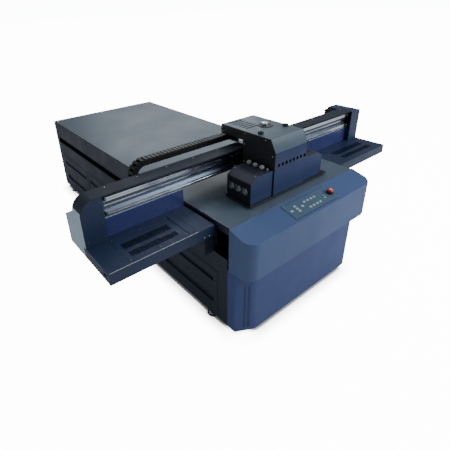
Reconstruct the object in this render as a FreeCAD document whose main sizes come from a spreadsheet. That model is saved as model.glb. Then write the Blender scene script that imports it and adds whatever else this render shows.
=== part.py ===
import FreeCAD, Part
import math
import os
import re
import Sketcher

# Flatbed UV printer with a moving gantry.
#
# Every sub-part is drawn from the bed datum: x = 0 on the bed's centre line, y = 0 at the bed's front
# edge and counted rearwards, z = 0 on the bed's top. Each sub-part's Placement then sets the machine
# on the floor, with the origin under the middle of its length.

doc = FreeCAD.newDocument("flatbed_printer")
V = FreeCAD.Vector

SIZES = {
    # bed and cabinet
    "bed_half": 650,
    "bed_length": 3044,
    "bed_height": 850,
    "bed_plate": 12,
    "bed_rim": 60,
    "cabinet_half": 659,
    "cabinet_base": -808,
    "sheet_metal": 3,
    "slot_top": -172,
    "slot_bottom": -240,
    "slot_front": 118,
    "slot_rear": 2960,
    "notch_front": 14,
    "notch_top": -26,
    "foot_x": 625,
    "foot_radius": 44,
    "cover_top": -392,
    "cover_bottom": -765,
    "cover_front": 113,
    "cover_pitch": 708,
    "cover_length": 692,
    "tube_size": 60,
    "tube_wall": 4,
    "guide_beam_top": -270,
    "guide_x": 590,
    "screw_x": 530,
    "screw_z": -246,
    "screw_radius": 10,
    # console and lower cladding
    "console_half": 662,
    "console_depth": 182,
    "console_drop": 46,
    "console_bottom": -315,
    "console_round": 85,
    "cladding_front": -129,
    "cladding_corner": -62,
    "cladding_flat": 535,
    "cladding_top": -315.5,
    "cladding_wall": 6,
    # gantry
    "wing_half": 1389,
    "beam_half": 1240,
    "beam_front": 445,
    "beam_rear": 505,
    "beam_bottom": 110,
    "beam_top": 250,
    "rail_front": 425,
    "rail_height": 22,
    "rail_upper_z": 233,
    "rail_lower_z": 139,
    "cover_face": 395,
    "cover_crown": 278,
    "cover_back": 510,
    "cover_radius": 90,
    "pedestal_inner": 676,
    "pedestal_front": 432,
    "pedestal_rear": 656,
    "tray_front": 112,
    "tray_top": -16,
    "tray_bottom": -92,
    "tray_inner": 800,
    "leg_outer": 747,
    "leg_inner": 667,
    "leg_bottom": -228,
    "pulley_x": 1275,
    "pulley_y": 450,
    "pulley_radius": 14,
    "belt_bottom": 253,
    "belt_top": 260,
    # cable chain
    "chain_front": 568,
    "chain_rear": 632,
    "chain_link": 43,
    "chain_crown": 331,
    "chain_radius": 108,
    "chain_bend_x": -860,
    "chain_arm_end": -40,
    "chain_fixed_end": 1190,
    "trough_end": 1260,
    # carriage, about its own centre line
    "head_x": -16.5,
    "head_front": 80,
    "head_base": 20,
    "hood_half": 166.5,
    "hood_kink": 328,
    "hood_brow": 125,
    "hood_crown": 412,
    "hood_rear": 605,
    "hood_rear_base": 345,
    "lamp_inner": 170.5,
    "lamp_outer": 375.5,
    "lamp_front": 88,
    "lamp_rear": 310,
    "lamp_shoulder": 171,
    "lamp_crown": 208,
    "lamp_flat": 318.5,
    "fan_radius": 25,
    "fan_first": 142,
    "fan_pitch": 62,
    "fan_z": 106,
    "lift_x": 15,
    "lift_y": 352,
    "lift_radius": 8,
}

sheet = doc.addObject("Spreadsheet::Sheet", "Sizes")
for row, (alias, number) in enumerate(SIZES.items(), start=1):
    sheet.set(f"A{row}", alias)
    sheet.set(f"B{row}", str(number))
    sheet.setAlias(f"B{row}", alias)
doc.recompute()

subparts = []


# ---------------------------------------------------------------- drawing helpers


def bound(text):
    """An expression on the spreadsheet's cells, from text that names their aliases."""
    return re.sub(r"[a-z]+(_[a-z]+)*", lambda m: f"Sizes.{m[0]}" if m[0] in SIZES else m[0], str(text))


def number_of(text):
    """The number that an expression on the spreadsheet's aliases stands for."""
    sheet.set("D1", f"={text}")
    sheet.recompute()
    return float(sheet.get("D1"))


def bind(thing, **formulas):
    for path, formula in formulas.items():
        thing.setExpression(path.replace("__", "."), bound(formula))


def at(thing, x, y, z):
    bind(thing, Placement__Base__x=x, Placement__Base__y=y, Placement__Base__z=z)
    return thing


def block(x, y, z, name="block"):
    """A box between two places on each axis, given as (low, high) pairs."""
    box = doc.addObject("Part::Box", name)
    bind(box, Length=f"({x[1]}) - ({x[0]})", Width=f"({y[1]}) - ({y[0]})", Height=f"({z[1]}) - ({z[0]})")
    return at(box, x[0], y[0], z[0])


TURNS = {
    "x": FreeCAD.Rotation(V(0, 1, 0), 90),
    "y": FreeCAD.Rotation(V(1, 0, 0), -90),
    "z": FreeCAD.Rotation(),
}


def rod(axis, start, length, radius, name="rod"):
    """A cylinder that runs from start along an axis."""
    cylinder = doc.addObject("Part::Cylinder", name)
    bind(cylinder, Radius=radius, Height=length)
    cylinder.Placement = FreeCAD.Placement(V(), TURNS[axis])
    return at(cylinder, *start)


def fuse(*pieces, name="fuse"):
    joined = doc.addObject("Part::MultiFuse", name)
    joined.Shapes = list(pieces)
    joined.Refine = True
    return joined


def group(*pieces, name="group"):
    together = doc.addObject("Part::Compound", name)
    together.Links = list(pieces)
    return together


def cut(base, *tools, name="cut"):
    trimmed = doc.addObject("Part::Cut", name)
    trimmed.Base = base
    trimmed.Tool = tools[0] if len(tools) == 1 else group(*tools)
    trimmed.Refine = True
    return trimmed


def overlap(*pieces, name="overlap"):
    shared = doc.addObject("Part::MultiCommon", name)
    shared.Shapes = list(pieces)
    return shared


def mirrored(piece, centre="0", name="mirror"):
    """The piece's mirror image across the upright plane at x = centre."""
    twin = doc.addObject("Part::Mirroring", name)
    twin.Source = piece
    twin.Normal = V(1, 0, 0)
    bind(twin, Base__x=centre)
    return twin


PLANES = {"XY": ("XY_Plane", 1), "XZ": ("XZ_Plane", -1), "YZ": ("YZ_Plane", 1)}


def prism(plane, corners, low, high, rounded=(), radius=None, name="prism"):
    """A polygon on one of the body's planes, padded from low to high along the third axis.

    The edges along the third axis at the corners whose numbers are in rounded get a fillet.
    """
    body = doc.addObject("PartDesign::Body", name)
    sketch = body.newObject("Sketcher::SketchObject", name + "_sketch")
    role, sense = PLANES[plane]
    support = next(f for f in body.Origin.OriginFeatures if f.Role == role)
    sketch.AttachmentSupport = [(support, "")]
    sketch.MapMode = "FlatFace"
    start = low if sense > 0 else high
    sketch.setExpression("AttachmentOffset.Base.z", bound(f"{sense} * ({start})"))
    places = [(number_of(a), number_of(b)) for a, b in corners]
    count = len(corners)
    for n in range(count):
        ends = [V(*places[k % count], 0) for k in (n, n + 1)]
        sketch.addGeometry(Part.LineSegment(*ends), False)
    for n in range(count):
        sketch.addConstraint(Sketcher.Constraint("Coincident", n, 2, (n + 1) % count, 1))
    for n, corner in enumerate(corners):
        for kind, text, place in zip(("DistanceX", "DistanceY"), corner, places[n]):
            row = sketch.addConstraint(Sketcher.Constraint(kind, -1, 1, n, 1, place))
            sketch.setExpression(f"Constraints[{row}]", bound(text))
    pad = body.newObject("PartDesign::Pad", name + "_pad")
    pad.Profile = sketch
    pad.setExpression("Length", bound(f"({high}) - ({low})"))
    doc.recompute()
    if rounded:
        along = {"XY": 2, "XZ": 1, "YZ": 0}[plane]
        across = [k for k in range(3) if k != along]
        names = []
        for n, edge in enumerate(pad.Shape.Edges, start=1):
            middle = edge.CenterOfMass
            ends = [v.Point for v in edge.Vertexes]
            if abs(ends[0][along] - ends[1][along]) < 1e-6:
                continue
            spots = [places[k] for k in rounded]
            if any(math.dist((middle[across[0]], middle[across[1]]), spot) < 0.01 for spot in spots):
                names.append(f"Edge{n}")
        fillet = body.newObject("PartDesign::Fillet", name + "_fillet")
        fillet.Base = (pad, names)
        bind(fillet, Radius=radius)
        doc.recompute()
    return body


def subpart(label, *pieces, slope=False):
    """Registers a node: its pieces in one compound, set on the floor by its own Placement."""
    node = group(*pieces, name=label)
    node.Label = label
    at(node, 0, "(console_depth - bed_length) / 2", "bed_height")
    if slope:
        bind(node, Placement__Rotation__Angle="atan(console_drop / console_depth)")
        node.Placement.Rotation.Axis = V(1, 0, 0)
    subparts.append(node)
    return node


# ---------------------------------------------------------------- cabinet

OUTER_POST = ("guide_x - tube_size / 2", "guide_x + tube_size / 2")
INNER_POST = ("440", "440 + tube_size")
STATIONS = ["20", "1000", "2000", "bed_length - 24 - tube_size"]
FRAME_LENGTH = ("20", "bed_length - 24")
LOW_TUBE = ("cabinet_base", "cabinet_base + tube_size")
GUIDE_TUBE = ("guide_beam_top - tube_size", "guide_beam_top")
TOP_TUBE = ("-bed_plate - tube_size", "-bed_plate")


def tube(x, y, z, along):
    """A square steel tube that is open at both ends."""
    spans = {"x": x, "y": y, "z": z}
    core = {axis: (f"{low} + tube_wall", f"{high} - tube_wall") for axis, (low, high) in spans.items()}
    core[along] = (f"{spans[along][0]} - 1", f"{spans[along][1]} + 1")
    return cut(block(x, y, z), block(*(core[axis] for axis in "xyz")))


def base_frame():
    low_top, low_side = LOW_TUBE[1], "640 - tube_size"
    crosses = []
    right = [tube((low_side, "640"), FRAME_LENGTH, LOW_TUBE, "y"),
             tube(OUTER_POST, FRAME_LENGTH, GUIDE_TUBE, "y"),
             tube(INNER_POST, FRAME_LENGTH, TOP_TUBE, "y")]
    for y in STATIONS:
        span = (y, f"{y} + tube_size")
        crosses.append(tube((f"-({low_side})", low_side), span, LOW_TUBE, "x"))
        crosses.append(tube((f"-({INNER_POST[0]})", INNER_POST[0]), span, TOP_TUBE, "x"))
        right.append(tube(OUTER_POST, span, (low_top, GUIDE_TUBE[0]), "z"))
        right.append(tube(INNER_POST, span, (low_top, TOP_TUBE[0]), "z"))
        right.append(tube((INNER_POST[1], OUTER_POST[0]), span, GUIDE_TUBE, "x"))
    holder = block(("screw_x - 20", OUTER_POST[0]), ("30", "55"), ("guide_beam_top", "screw_z + 20"))
    right.append(cut(holder, rod("y", ("screw_x", "20", "screw_z"), "40", "screw_radius + 0.3")))
    half = group(*right)
    subpart("base_frame", *crosses, half, mirrored(half))


def bays():
    """The front and rear end of each service cover, front to rear."""
    for n in range(4):
        front = f"cover_front + {n} * cover_pitch"
        yield front, f"{front} + cover_length"


GROOVES = [("-500", "-455"), ("-692", "-630")]


def side_panels():
    wall = ("-cabinet_half", "-cabinet_half + sheet_metal")
    inside = ("-cabinet_half - 1", "-cabinet_half + 5")
    panel = block(wall, ("notch_front", "bed_length - 3"), ("cabinet_base", "0"))
    fold = block(("-cabinet_half", "-bed_half - 0.5"), ("notch_front", "bed_length - 3"),
                 ("-sheet_metal", "0"))
    gaps = [
        block(inside, ("slot_front - 1", "slot_rear"), ("slot_bottom", "slot_top")),
        block(inside, ("notch_front - 1", "slot_front"), ("slot_bottom", "notch_top")),
    ]
    gaps += [block(inside, (f"{a} + 20", f"{b} - 20"), ("cover_bottom + 20", "cover_top - 20"))
             for a, b in bays()]
    left = cut(fuse(panel, fold), *gaps)
    subpart("left_side_panel", left)
    subpart("right_side_panel", mirrored(left))


def side_covers():
    covers = []
    for front, rear in bays():
        plate = block(("-cabinet_half - 3", "-cabinet_half"), (front, rear), ("cover_bottom", "cover_top"))
        trays = [block(("-cabinet_half - 3", "-cabinet_half + 15"), (f"{front} + 36", f"{rear} - 36"),
                       (low, high)) for low, high in GROOVES]
        dents = [block(("-cabinet_half - 4", "-cabinet_half + 12"), (f"{front} + 39", f"{rear} - 39"),
                       (f"{low} + 3", f"{high} - 3")) for low, high in GROOVES]
        covers.append(cut(fuse(plate, *trays), *dents))
    left = group(*covers)
    subpart("side_covers", left, mirrored(left))


def rear_panel():
    wall = block(("-cabinet_half", "cabinet_half"), ("bed_length - 3", "bed_length"),
                 ("cabinet_base", "-bed_rim"))
    slots = [block((x, f"{x} + 340"), ("bed_length - 4", "bed_length + 1"), (z, f"{z} + 12"))
             for x in ("-500", "160") for z in [str(-330 - 30 * n) for n in range(10)]]
    inlet = block(("-40", "40"), ("bed_length - 4", "bed_length + 1"), ("-720", "-670"))
    subpart("rear_panel", cut(wall, *slots, inlet))
    plug = block(("-39.5", "39.5"), ("bed_length - 30", "bed_length - 0.5"), ("-719.5", "-670.5"))
    flange = block(("-46", "46"), ("bed_length - 6", "bed_length - 3"), ("-726", "-664"))
    socket = rod("y", ("0", "bed_length - 22", "-695"), "30", "17")
    pins = [rod("y", (x, "bed_length - 23", z), "16", "2.5")
            for x, z in (("-8", "-690"), ("8", "-690"), ("0", "-704"))]
    subpart("power_inlet", fuse(cut(fuse(plug, flange), socket), *pins))


def cladding_corners(inset, back):
    half, front = f"cabinet_half - {inset}", f"cladding_front + {inset}"
    flat = f"cladding_flat - {inset} * 0.4"
    corner = f"cladding_corner + {inset} * 0.6"
    return [(f"-({half})", back), (f"-({half})", corner), (f"-({flat})", front),
            (flat, front), (half, corner), (half, back)]


def front_cladding():
    outer = prism("XY", cladding_corners("0", "notch_front - 0.5"), "cabinet_base", "cladding_top")
    inner = prism("XY", cladding_corners("cladding_wall", "notch_front + 5"), "cabinet_base - 5",
                  "cladding_top - 3")
    shell = cut(outer, inner)
    run = SIZES["cabinet_half"] - SIZES["cladding_flat"]
    rise = SIZES["cladding_corner"] - SIZES["cladding_front"]
    turn = FreeCAD.Rotation(V(0, 0, 1), -math.degrees(math.atan2(rise, run)))
    grooves = []
    for along in (0.42, 0.62):
        groove = doc.addObject("Part::Box", "groove")
        groove.Length, groove.Width, groove.Height = 13, 8, 360
        groove.Placement = FreeCAD.Placement(V(), turn)
        at(groove, f"-cabinet_half + {along} * (cabinet_half - cladding_flat) - 2",
           f"cladding_corner - {along} * (cladding_corner - cladding_front) - 4", "cabinet_base + 34")
        grooves += [groove, mirrored(groove)]
    subpart("front_cladding", cut(shell, *grooves))


def console_section(inset):
    top, bottom = f"-{inset} * 1.03", f"console_bottom + {inset}"
    back = "-0.5" if inset == "0" else "5"
    drop = f"{top} - (console_depth - {inset}) * console_drop / console_depth"
    lift = "-0.5 * console_drop / console_depth"
    if inset != "0":
        lift = f"{top} + 5 * console_drop / console_depth"
    return [(back, lift), (f"-console_depth + {inset}", drop), (f"-console_depth + {inset}", bottom),
            (back, bottom)]


def on_slope(x, y, z):
    """A box laid out along the console's sloping top, for cutting the shell."""
    box = block(x, y, z)
    angle = math.degrees(math.atan2(SIZES["console_drop"], SIZES["console_depth"]))
    turn = FreeCAD.Rotation(V(1, 0, 0), angle)
    spot = turn.multVec(V(number_of(x[0]), number_of(y[0]), number_of(z[0])))
    for axis in "xyz":
        box.setExpression(f"Placement.Base.{axis}", None)
    box.Placement = FreeCAD.Placement(spot, turn)
    return box


def console():
    footprint = [("-console_half", "-0.5"), ("-console_half", "-console_depth"),
                 ("console_half", "-console_depth"), ("console_half", "-0.5")]
    hollow = [("-console_half + 3", "5"), ("-console_half + 3", "-console_depth + 3"),
              ("console_half - 3", "-console_depth + 3"), ("console_half - 3", "5")]
    outer = overlap(prism("XY", footprint, "console_bottom", "10", (1, 2), "console_round"),
                    prism("YZ", console_section("0"), "-console_half", "console_half"))
    inner = overlap(prism("XY", hollow, "console_bottom - 5", "20", (1, 2), "console_round - 3"),
                    prism("YZ", console_section("3"), "-console_half", "console_half"))
    window = on_slope(("-214", "240"), ("-158", "-36"), ("-8", "4"))
    subpart("console_housing", cut(outer, inner, window))

    plate = block(("-225", "250"), ("-168", "-26"), ("0.1", "2.1"))
    pan = block(("-213", "239"), ("-157", "-37"), ("-6", "0.1"))
    keys = []
    for x, y in [("-133", "-72"), ("-187", "-95"), ("-133", "-118"), ("-79", "-95"), ("-133", "-95")]:
        keys.append(block((f"{x} - 10", f"{x} + 10"), (f"{y} - 8", f"{y} + 8"), ("2.1", "2.9")))
    for y in ("-72", "-130"):
        for n in range(4):
            left = -42 + 36 * n
            keys.append(block((str(left), str(left + 20)), (f"{y} - 7", f"{y} + 7"), ("2.1", "2.9")))
    holes = [rod("z", ("217", "-103", "-10"), "20", "11.3"), rod("z", ("140", "-112", "-10"), "20", "10.3")]
    subpart("control_panel", cut(fuse(plate, pan, *keys), *holes), slope=True)
    collar = cut(rod("z", ("217", "-103", "2.1"), "5", "26"), rod("z", ("217", "-103", "0"), "10", "11.3"))
    subpart("estop_collar", collar, slope=True)
    stem = fuse(rod("z", ("217", "-103", "-28"), "50", "7"), rod("z", ("217", "-103", "-28"), "26", "11"))
    subpart("estop_plunger", stem, slope=True)
    skirt = rod("z", ("217", "-103", "14"), "8", "16")
    crown = rod("z", ("217", "-103", "22"), "12", "23")
    seat = rod("z", ("217", "-103", "10"), "12", "7.3")
    subpart("estop_button", cut(fuse(skirt, crown), seat), slope=True)
    subpart("start_button", rod("z", ("140", "-112", "-14"), "24", "10"), slope=True)


def bed():
    whole = block(("-bed_half", "bed_half"), ("0", "bed_length"), ("-bed_rim", "0"))
    under = block(("-bed_half + 10", "bed_half - 10"), ("10", "bed_length - 10"),
                  ("-bed_rim - 5", "-bed_plate"))
    subpart("bed_table", cut(whole, under))
    floor = LOW_TUBE[1]
    drum_z = f"{floor} + 200"
    plinth = cut(block(("-170", "170"), ("780", "1000"), (floor, f"{floor} + 90")),
                 block(("-164", "164"), ("786", "994"), (f"{floor} - 5", f"{floor} + 84")))
    drum = cut(rod("y", ("0", "800", drum_z), "180", "150"), rod("y", ("0", "808", drum_z), "180", "142"))
    pipe_foot = ("0", "890", f"{floor} + 344")
    pipe = cut(rod("z", pipe_foot, f"-bed_plate - ({floor}) - 344", "40"),
               rod("z", pipe_foot, f"-bed_plate - ({floor}) - 340", "36"))
    foot = block(("-200", "200"), ("1000", "1060"), (floor, f"{floor} + 8"))
    subpart("vacuum_blower", fuse(plinth, drum, pipe, foot))
    box = block(("-250", "250"), ("1480", "2180"), (floor, "-320"))
    room = block(("-246", "246"), ("1484", "2176"), (f"{floor} - 5", "-324"))
    subpart("electronics_cabinet", cut(box, room))


def y_drive():
    rail = block(("guide_x - 10", "guide_x + 10"), ("100", "slot_rear"),
                 ("guide_beam_top", "guide_beam_top + 20"))
    subpart("y_guide_rails", rail, mirrored(rail))
    motor = block(("screw_x - 30", "screw_x + 30"), ("2890", "slot_rear"), ("screw_z - 30", "screw_z + 30"))
    subpart("y_motors", motor, mirrored(motor))
    for side, x in (("left", "-screw_x"), ("right", "screw_x")):
        subpart(f"y_screw_{side}", rod("y", (x, "31", "screw_z"), "2858.5", "screw_radius"))


def levelling_feet():
    feet = []
    for x in ("-foot_x", "foot_x"):
        for y in ("200", "bed_length / 2", "bed_length - 200"):
            pad = rod("z", (x, y, "-bed_height"), "14", "foot_radius")
            neck = doc.addObject("Part::Cone", "neck")
            bind(neck, Radius1="foot_radius - 8", Radius2="14", Height="12")
            at(neck, x, y, "-bed_height + 14")
            stem = rod("z", (x, y, "-bed_height + 20"), "cabinet_base + bed_height - 20", "9")
            feet.append(fuse(pad, neck, stem))
    subpart("levelling_feet", *feet)


# ---------------------------------------------------------------- gantry


def beam():
    whole = block(("-beam_half", "beam_half"), ("beam_front", "beam_rear"), ("beam_bottom", "beam_top"))
    hollow = block(("-beam_half - 1", "beam_half + 1"), ("beam_front + 14", "beam_rear - 8"),
                   ("beam_bottom + 8", "beam_top - 8"))
    channels = [block(("-beam_half - 1", "beam_half + 1"), ("beam_front - 1", "beam_front + 7"), span)
                for span in (("164", "174"), ("196", "206"))]
    ears = []
    for low, high in (("-pulley_x - 25", "-beam_half"), ("beam_half", "pulley_x + 25")):
        ears.append(block((low, high), ("beam_front - 12", "beam_front + 30"),
                          ("beam_top - 14", "beam_top")))
    bores = [rod("z", (x, "pulley_y", "200"), "70", "4.3") for x in ("-pulley_x", "pulley_x")]
    subpart("gantry_beam", cut(fuse(cut(whole, hollow, *channels), *ears), *bores))
    for level in ("upper", "lower"):
        middle = f"rail_{level}_z"
        rail = block(("-beam_half + 14", "beam_half - 14"), ("rail_front", "beam_front"),
                     (f"{middle} - rail_height / 2", f"{middle} + rail_height / 2"))
        subpart(f"x_rail_{level}", rail)


def end_outline(inset):
    """The cover's front view: its left end and crown, drawn from the tray up."""
    left, crown = f"-wing_half + {inset}", f"cover_crown - {inset}"
    low = "tray_top + 0.2" if inset == "0" else "tray_top - 5"
    right = "beam_half" if inset == "0" else "beam_half + 5"
    return [(left, low), (left, crown), (right, crown), (right, low)]


def beam_covers():
    outer = prism("XZ", end_outline("0"), "cover_face", "cover_back", (1,), "cover_radius")
    inner = prism("XZ", end_outline("3"), "cover_face - 5", "cover_back + 5", (1,), "cover_radius - 3")
    foot = block(("-wing_half - 5", "-wing_half + 5"), ("pedestal_front - 0.5", "cover_back + 5"),
                 ("tray_top - 5", "beam_bottom"))
    lip = block(("-1250", "beam_half"), ("cover_face", "cover_face + 3"), ("268", "cover_crown - 1"))
    tail = block(("-1280", "beam_half"), ("cover_back - 3", "cover_back"), ("236", "cover_crown - 1"))
    subpart("beam_cover", fuse(cut(outer, inner, foot), lip, tail))

    plate_outline = [("-wing_half + 3", "tray_top + 0.2"), ("-wing_half + 3", "cover_crown - 3"),
                     ("-1250", "cover_crown - 3"), ("-1250", "tray_top + 0.2")]
    plate = prism("XZ", plate_outline, "cover_face", "cover_face + 3", (1,), "cover_radius - 3")
    fold = block(("-1253", "-1250"), ("cover_face", "beam_front - 15"), ("tray_top + 0.2", "258"))
    subpart("left_end_cover", fuse(plate, fold))

    low_x, high_x = "beam_half", "wing_half - 14"
    tower = block((low_x, high_x), ("cover_face - 5", "650"), ("beam_bottom", "cover_crown - 13"))
    shin = block((low_x, high_x), ("cover_face - 5", "pedestal_front - 0.5"),
                 ("tray_top", "beam_bottom + 1"))
    room = block((f"{low_x} + 3", f"{high_x} - 3"), ("cover_face - 2", "647"),
                 ("beam_bottom - 1", "cover_crown - 16"))
    sock = block((f"{low_x} + 3", f"{high_x} - 3"), ("cover_face - 2", "pedestal_front"),
                 ("tray_top - 1", "beam_bottom + 1"))
    door = block((f"{low_x} - 1", f"{low_x} + 4"), ("cover_face + 4", "cover_back + 2"),
                 ("beam_bottom - 1", "cover_crown - 16"))
    subpart("right_end_cover", cut(fuse(tower, shin), room, sock, door))


def pedestals():
    box = block(("-wing_half", "-pedestal_inner"), ("pedestal_front", "pedestal_rear"),
                ("tray_bottom", "beam_bottom"))
    room = block(("-wing_half + 4", "-pedestal_inner - 4"), ("pedestal_front + 4", "pedestal_rear - 4"),
                 ("tray_bottom - 5", "beam_bottom - 4"))
    left = cut(box, room)
    subpart("pedestals", left, mirrored(left))


def pan(low_x, high_x):
    """An upturned sheet-metal tray between two places across the machine."""
    box = block((low_x, high_x), ("tray_front", "pedestal_front"), ("tray_bottom", "tray_top"))
    room = block((f"{low_x} + 3", f"{high_x} - 3"), ("tray_front + 3", "pedestal_front + 5"),
                 ("tray_bottom - 5", "tray_top - 3"))
    return cut(box, room)


def trays():
    left = pan("-wing_half", "-tray_inner")
    opening = block(("-1253", "-856"), ("134", "384"), ("tray_top - 5", "tray_top + 5"))
    strip = block(("-852", "-808"), ("134", "384"), ("tray_top - 1", "tray_top + 3"))
    subpart("left_tray", fuse(cut(left, opening), strip))
    right = mirrored(pan("-wing_half", "-tray_inner"))
    wide_opening = block(("830", "1290"), ("134", "384"), ("tray_top - 5", "tray_top + 5"))
    subpart("right_tray", cut(right, wide_opening))
    subpart("left_grille", grille("-1252", "-857", "-1220", 25))
    subpart("right_grille", grille("831", "1289", "848", 33))
    bridge = pan("-tray_inner + 0.5", "-pedestal_inner")
    subpart("bridge_plates", bridge, mirrored(bridge))


def grille(low_x, high_x, first, count):
    """A drop-in tray panel with two rows of cross slots."""
    panel = block((low_x, high_x), ("135", "383"), ("tray_top - 3", "tray_top"))
    flange = block((f"{low_x} - 8", f"{high_x} + 8"), ("126", "392"), ("tray_top - 5", "tray_top - 3"))
    slots = []
    for n in range(count):
        x = f"{first} + {n} * 12.8"
        for y in (("253", "315"), ("170", "220")):
            slots.append(block((x, f"{x} + 8.8"), y, ("tray_top - 8", "tray_top + 5")))
    return cut(fuse(panel, flange), *slots)


def legs():
    post = block(("-leg_outer", "-leg_inner"), ("130", "600"), ("leg_bottom", "tray_bottom"))
    room = block(("-leg_outer + 10", "-leg_inner - 10"), ("140", "590"),
                 ("leg_bottom + 10", "tray_bottom + 5"))
    arm = block(("-leg_inner - 1", "-505"), ("150", "580"), ("leg_bottom", "leg_bottom + 28"))
    housing = block(("-555", "-505"), ("330", "420"), ("screw_z - 20", "leg_bottom + 1"))
    nut = rod("y", ("-screw_x", "320", "screw_z"), "110", "screw_radius + 0.3")
    left = cut(fuse(cut(post, room), arm, housing), nut)
    subpart("gantry_legs", left, mirrored(left))
    blocks = []
    for y in ("170", "460"):
        whole = block(("-guide_x - 27", "-guide_x + 27"), (y, f"{y} + 100"),
                      ("guide_beam_top + 4", "leg_bottom"))
        groove = block(("-guide_x - 10.3", "-guide_x + 10.3"), (f"{y} - 1", f"{y} + 101"),
                       ("guide_beam_top", "guide_beam_top + 20.3"))
        blocks.append(cut(whole, groove))
    left_blocks = group(*blocks)
    subpart("y_bearing_blocks", left_blocks, mirrored(left_blocks))


def x_drive():
    z = ("belt_bottom", "belt_top")
    reach = "pulley_radius + 0.3"
    ring = []
    for thick in (f"{reach} + 2", reach):
        web = block(("-pulley_x", "pulley_x"), (f"pulley_y - ({thick})", f"pulley_y + {thick}"), z)
        ends = [rod("z", (x, "pulley_y", z[0]), "belt_top - belt_bottom", thick)
                for x in ("-pulley_x", "pulley_x")]
        ring.append(fuse(web, *ends))
    subpart("x_belt", cut(*ring))
    for name, x in (("x_idler_pulley", "-pulley_x"), ("x_drive_pulley", "pulley_x")):
        wheel = rod("z", (x, "pulley_y", "belt_bottom - 1"), "belt_top - belt_bottom + 1", "pulley_radius")
        shaft = rod("z", (x, "pulley_y", "beam_top - 19"), "belt_top - beam_top + 19", "4")
        subpart(name, fuse(wheel, shaft))
    body = block(("pulley_x - 24", "pulley_x + 24"), ("pulley_y - 17", "pulley_y + 25"),
                 ("136", "beam_top - 14"))
    subpart("x_motor", cut(body, rod("z", ("pulley_x", "pulley_y", "beam_top - 20"), "20", "5")))


# ---------------------------------------------------------------- cable chain


def chain():
    low, high = "chain_crown - 2 * chain_radius", "chain_crown"
    middle = "chain_crown - chain_radius"
    span = ("chain_front", "chain_rear")
    top_run = block(("chain_bend_x + 0.3", "chain_arm_end"), span, ("chain_crown - chain_link", high))
    low_run = block(("chain_bend_x + 0.3", "chain_fixed_end"), span, (low, f"{low} + chain_link"))
    width = "chain_rear - chain_front"
    disc = rod("y", ("chain_bend_x", span[0], middle), width, "chain_radius")
    core = rod("y", ("chain_bend_x", "chain_front - 1", middle), f"{width} + 2", "chain_radius - chain_link")
    right = block(("chain_bend_x", "chain_bend_x + chain_radius + 1"), ("chain_front - 1", "chain_rear + 1"),
                  (f"{low} - 1", f"{high} + 1"))
    subpart("chain_bend", cut(disc, core, right))
    subpart("chain_upper_run", top_run)
    subpart("chain_lower_run", low_run)
    floor = block(("-trough_end", "beam_half"), ("cover_back + 1", "pedestal_rear"),
                  ("beam_bottom", f"{low} - 0.5"))
    lips = [block(("-trough_end", "beam_half"), y, ("beam_bottom", "165"))
            for y in (("cover_back + 1", "cover_back + 4"), ("pedestal_rear - 3", "pedestal_rear"))]
    neck = block(("-beam_half", "beam_half"), ("beam_rear", "cover_back + 2"), ("120", "160"))
    anchor = block(("chain_fixed_end", "beam_half - 0.5"), ("chain_front", "650"),
                   ("beam_bottom + 2", "250"))
    subpart("chain_trough", fuse(floor, *lips, neck, anchor))


# ---------------------------------------------------------------- carriage and head


def slider():
    left, right = "head_x - 145", "head_x + 145"
    plate = block((left, right), ("379", "393"), ("114", "306"))
    tongue = block(("head_x - 40", "head_x + 40"), ("392", "pulley_y - pulley_radius - 2.6"),
                   ("belt_bottom", "belt_top"))
    arm = block(("-130", "-20"), ("392", "640"), ("cover_crown + 4", "chain_crown - chain_link"))
    stop = block(("chain_arm_end", "chain_arm_end + 8"), ("chain_front", "chain_rear"),
                 ("chain_crown - chain_link - 1", "chain_crown"))
    nut = cut(block(("lift_x - 22", "lift_x + 22"), ("lift_y - 20", "380"), ("230", "252")),
              rod("z", ("lift_x", "lift_y", "225"), "30", "lift_radius + 0.3"))
    subpart("slider_plate", fuse(plate, tongue, arm, stop, nut))
    blocks = []
    for level in ("rail_upper_z", "rail_lower_z"):
        for x in ("head_x - 130", "head_x + 50"):
            body = block((x, f"{x} + 80"), ("393", "441"), (f"{level} - 19", f"{level} + 19"))
            groove = block((f"{x} - 1", f"{x} + 81"), ("rail_front - 0.3", "442"),
                           (f"{level} - rail_height / 2 - 0.3", f"{level} + rail_height / 2 + 0.3"))
            blocks.append(cut(body, groove))
    subpart("x_bearing_blocks", *blocks)


def hood_outline(inset, closed):
    """The hood's side view, front foot first, round to the rear foot."""
    crown, rear = f"hood_crown - {inset}", f"hood_rear - {inset}"
    front = f"head_front + {inset}"
    outline = [(front, "head_base"), (front, f"hood_kink - {inset} * 0.3"),
               (f"hood_brow + {inset} * 0.7", crown), (rear, crown), (rear, "hood_rear_base")]
    if closed:
        outline += [("377", "hood_rear_base"), ("377", "head_base")]
    return outline


def hood():
    sheet_outline = hood_outline("0", False) + hood_outline("3", False)[::-1]
    inside = ("head_x - hood_half + 3", "head_x + hood_half - 3")
    shell = prism("YZ", sheet_outline, *inside)
    holes = [block((f"head_x - 133 + 38.4 * {n}", f"head_x - 113 + 38.4 * {n}"),
                   ("head_front - 1", "head_front + 4"), ("223", "247")) for n in range(8)]
    vents = [block(("head_x - 120", "head_x + 10"), (str(390 + 34 * n), str(404 + 34 * n)),
                   ("hood_crown - 5", "hood_crown + 2")) for n in range(6)]
    bore = rod("z", ("lift_x", "lift_y", "hood_crown - 5"), "10", "lift_radius + 4")
    subpart("carriage_hood", cut(shell, *holes, *vents, bore))
    side = prism("YZ", hood_outline("0", True), "head_x - hood_half", "head_x - hood_half + 3")
    subpart("hood_side_plates", side, mirrored(side, "head_x"))


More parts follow.
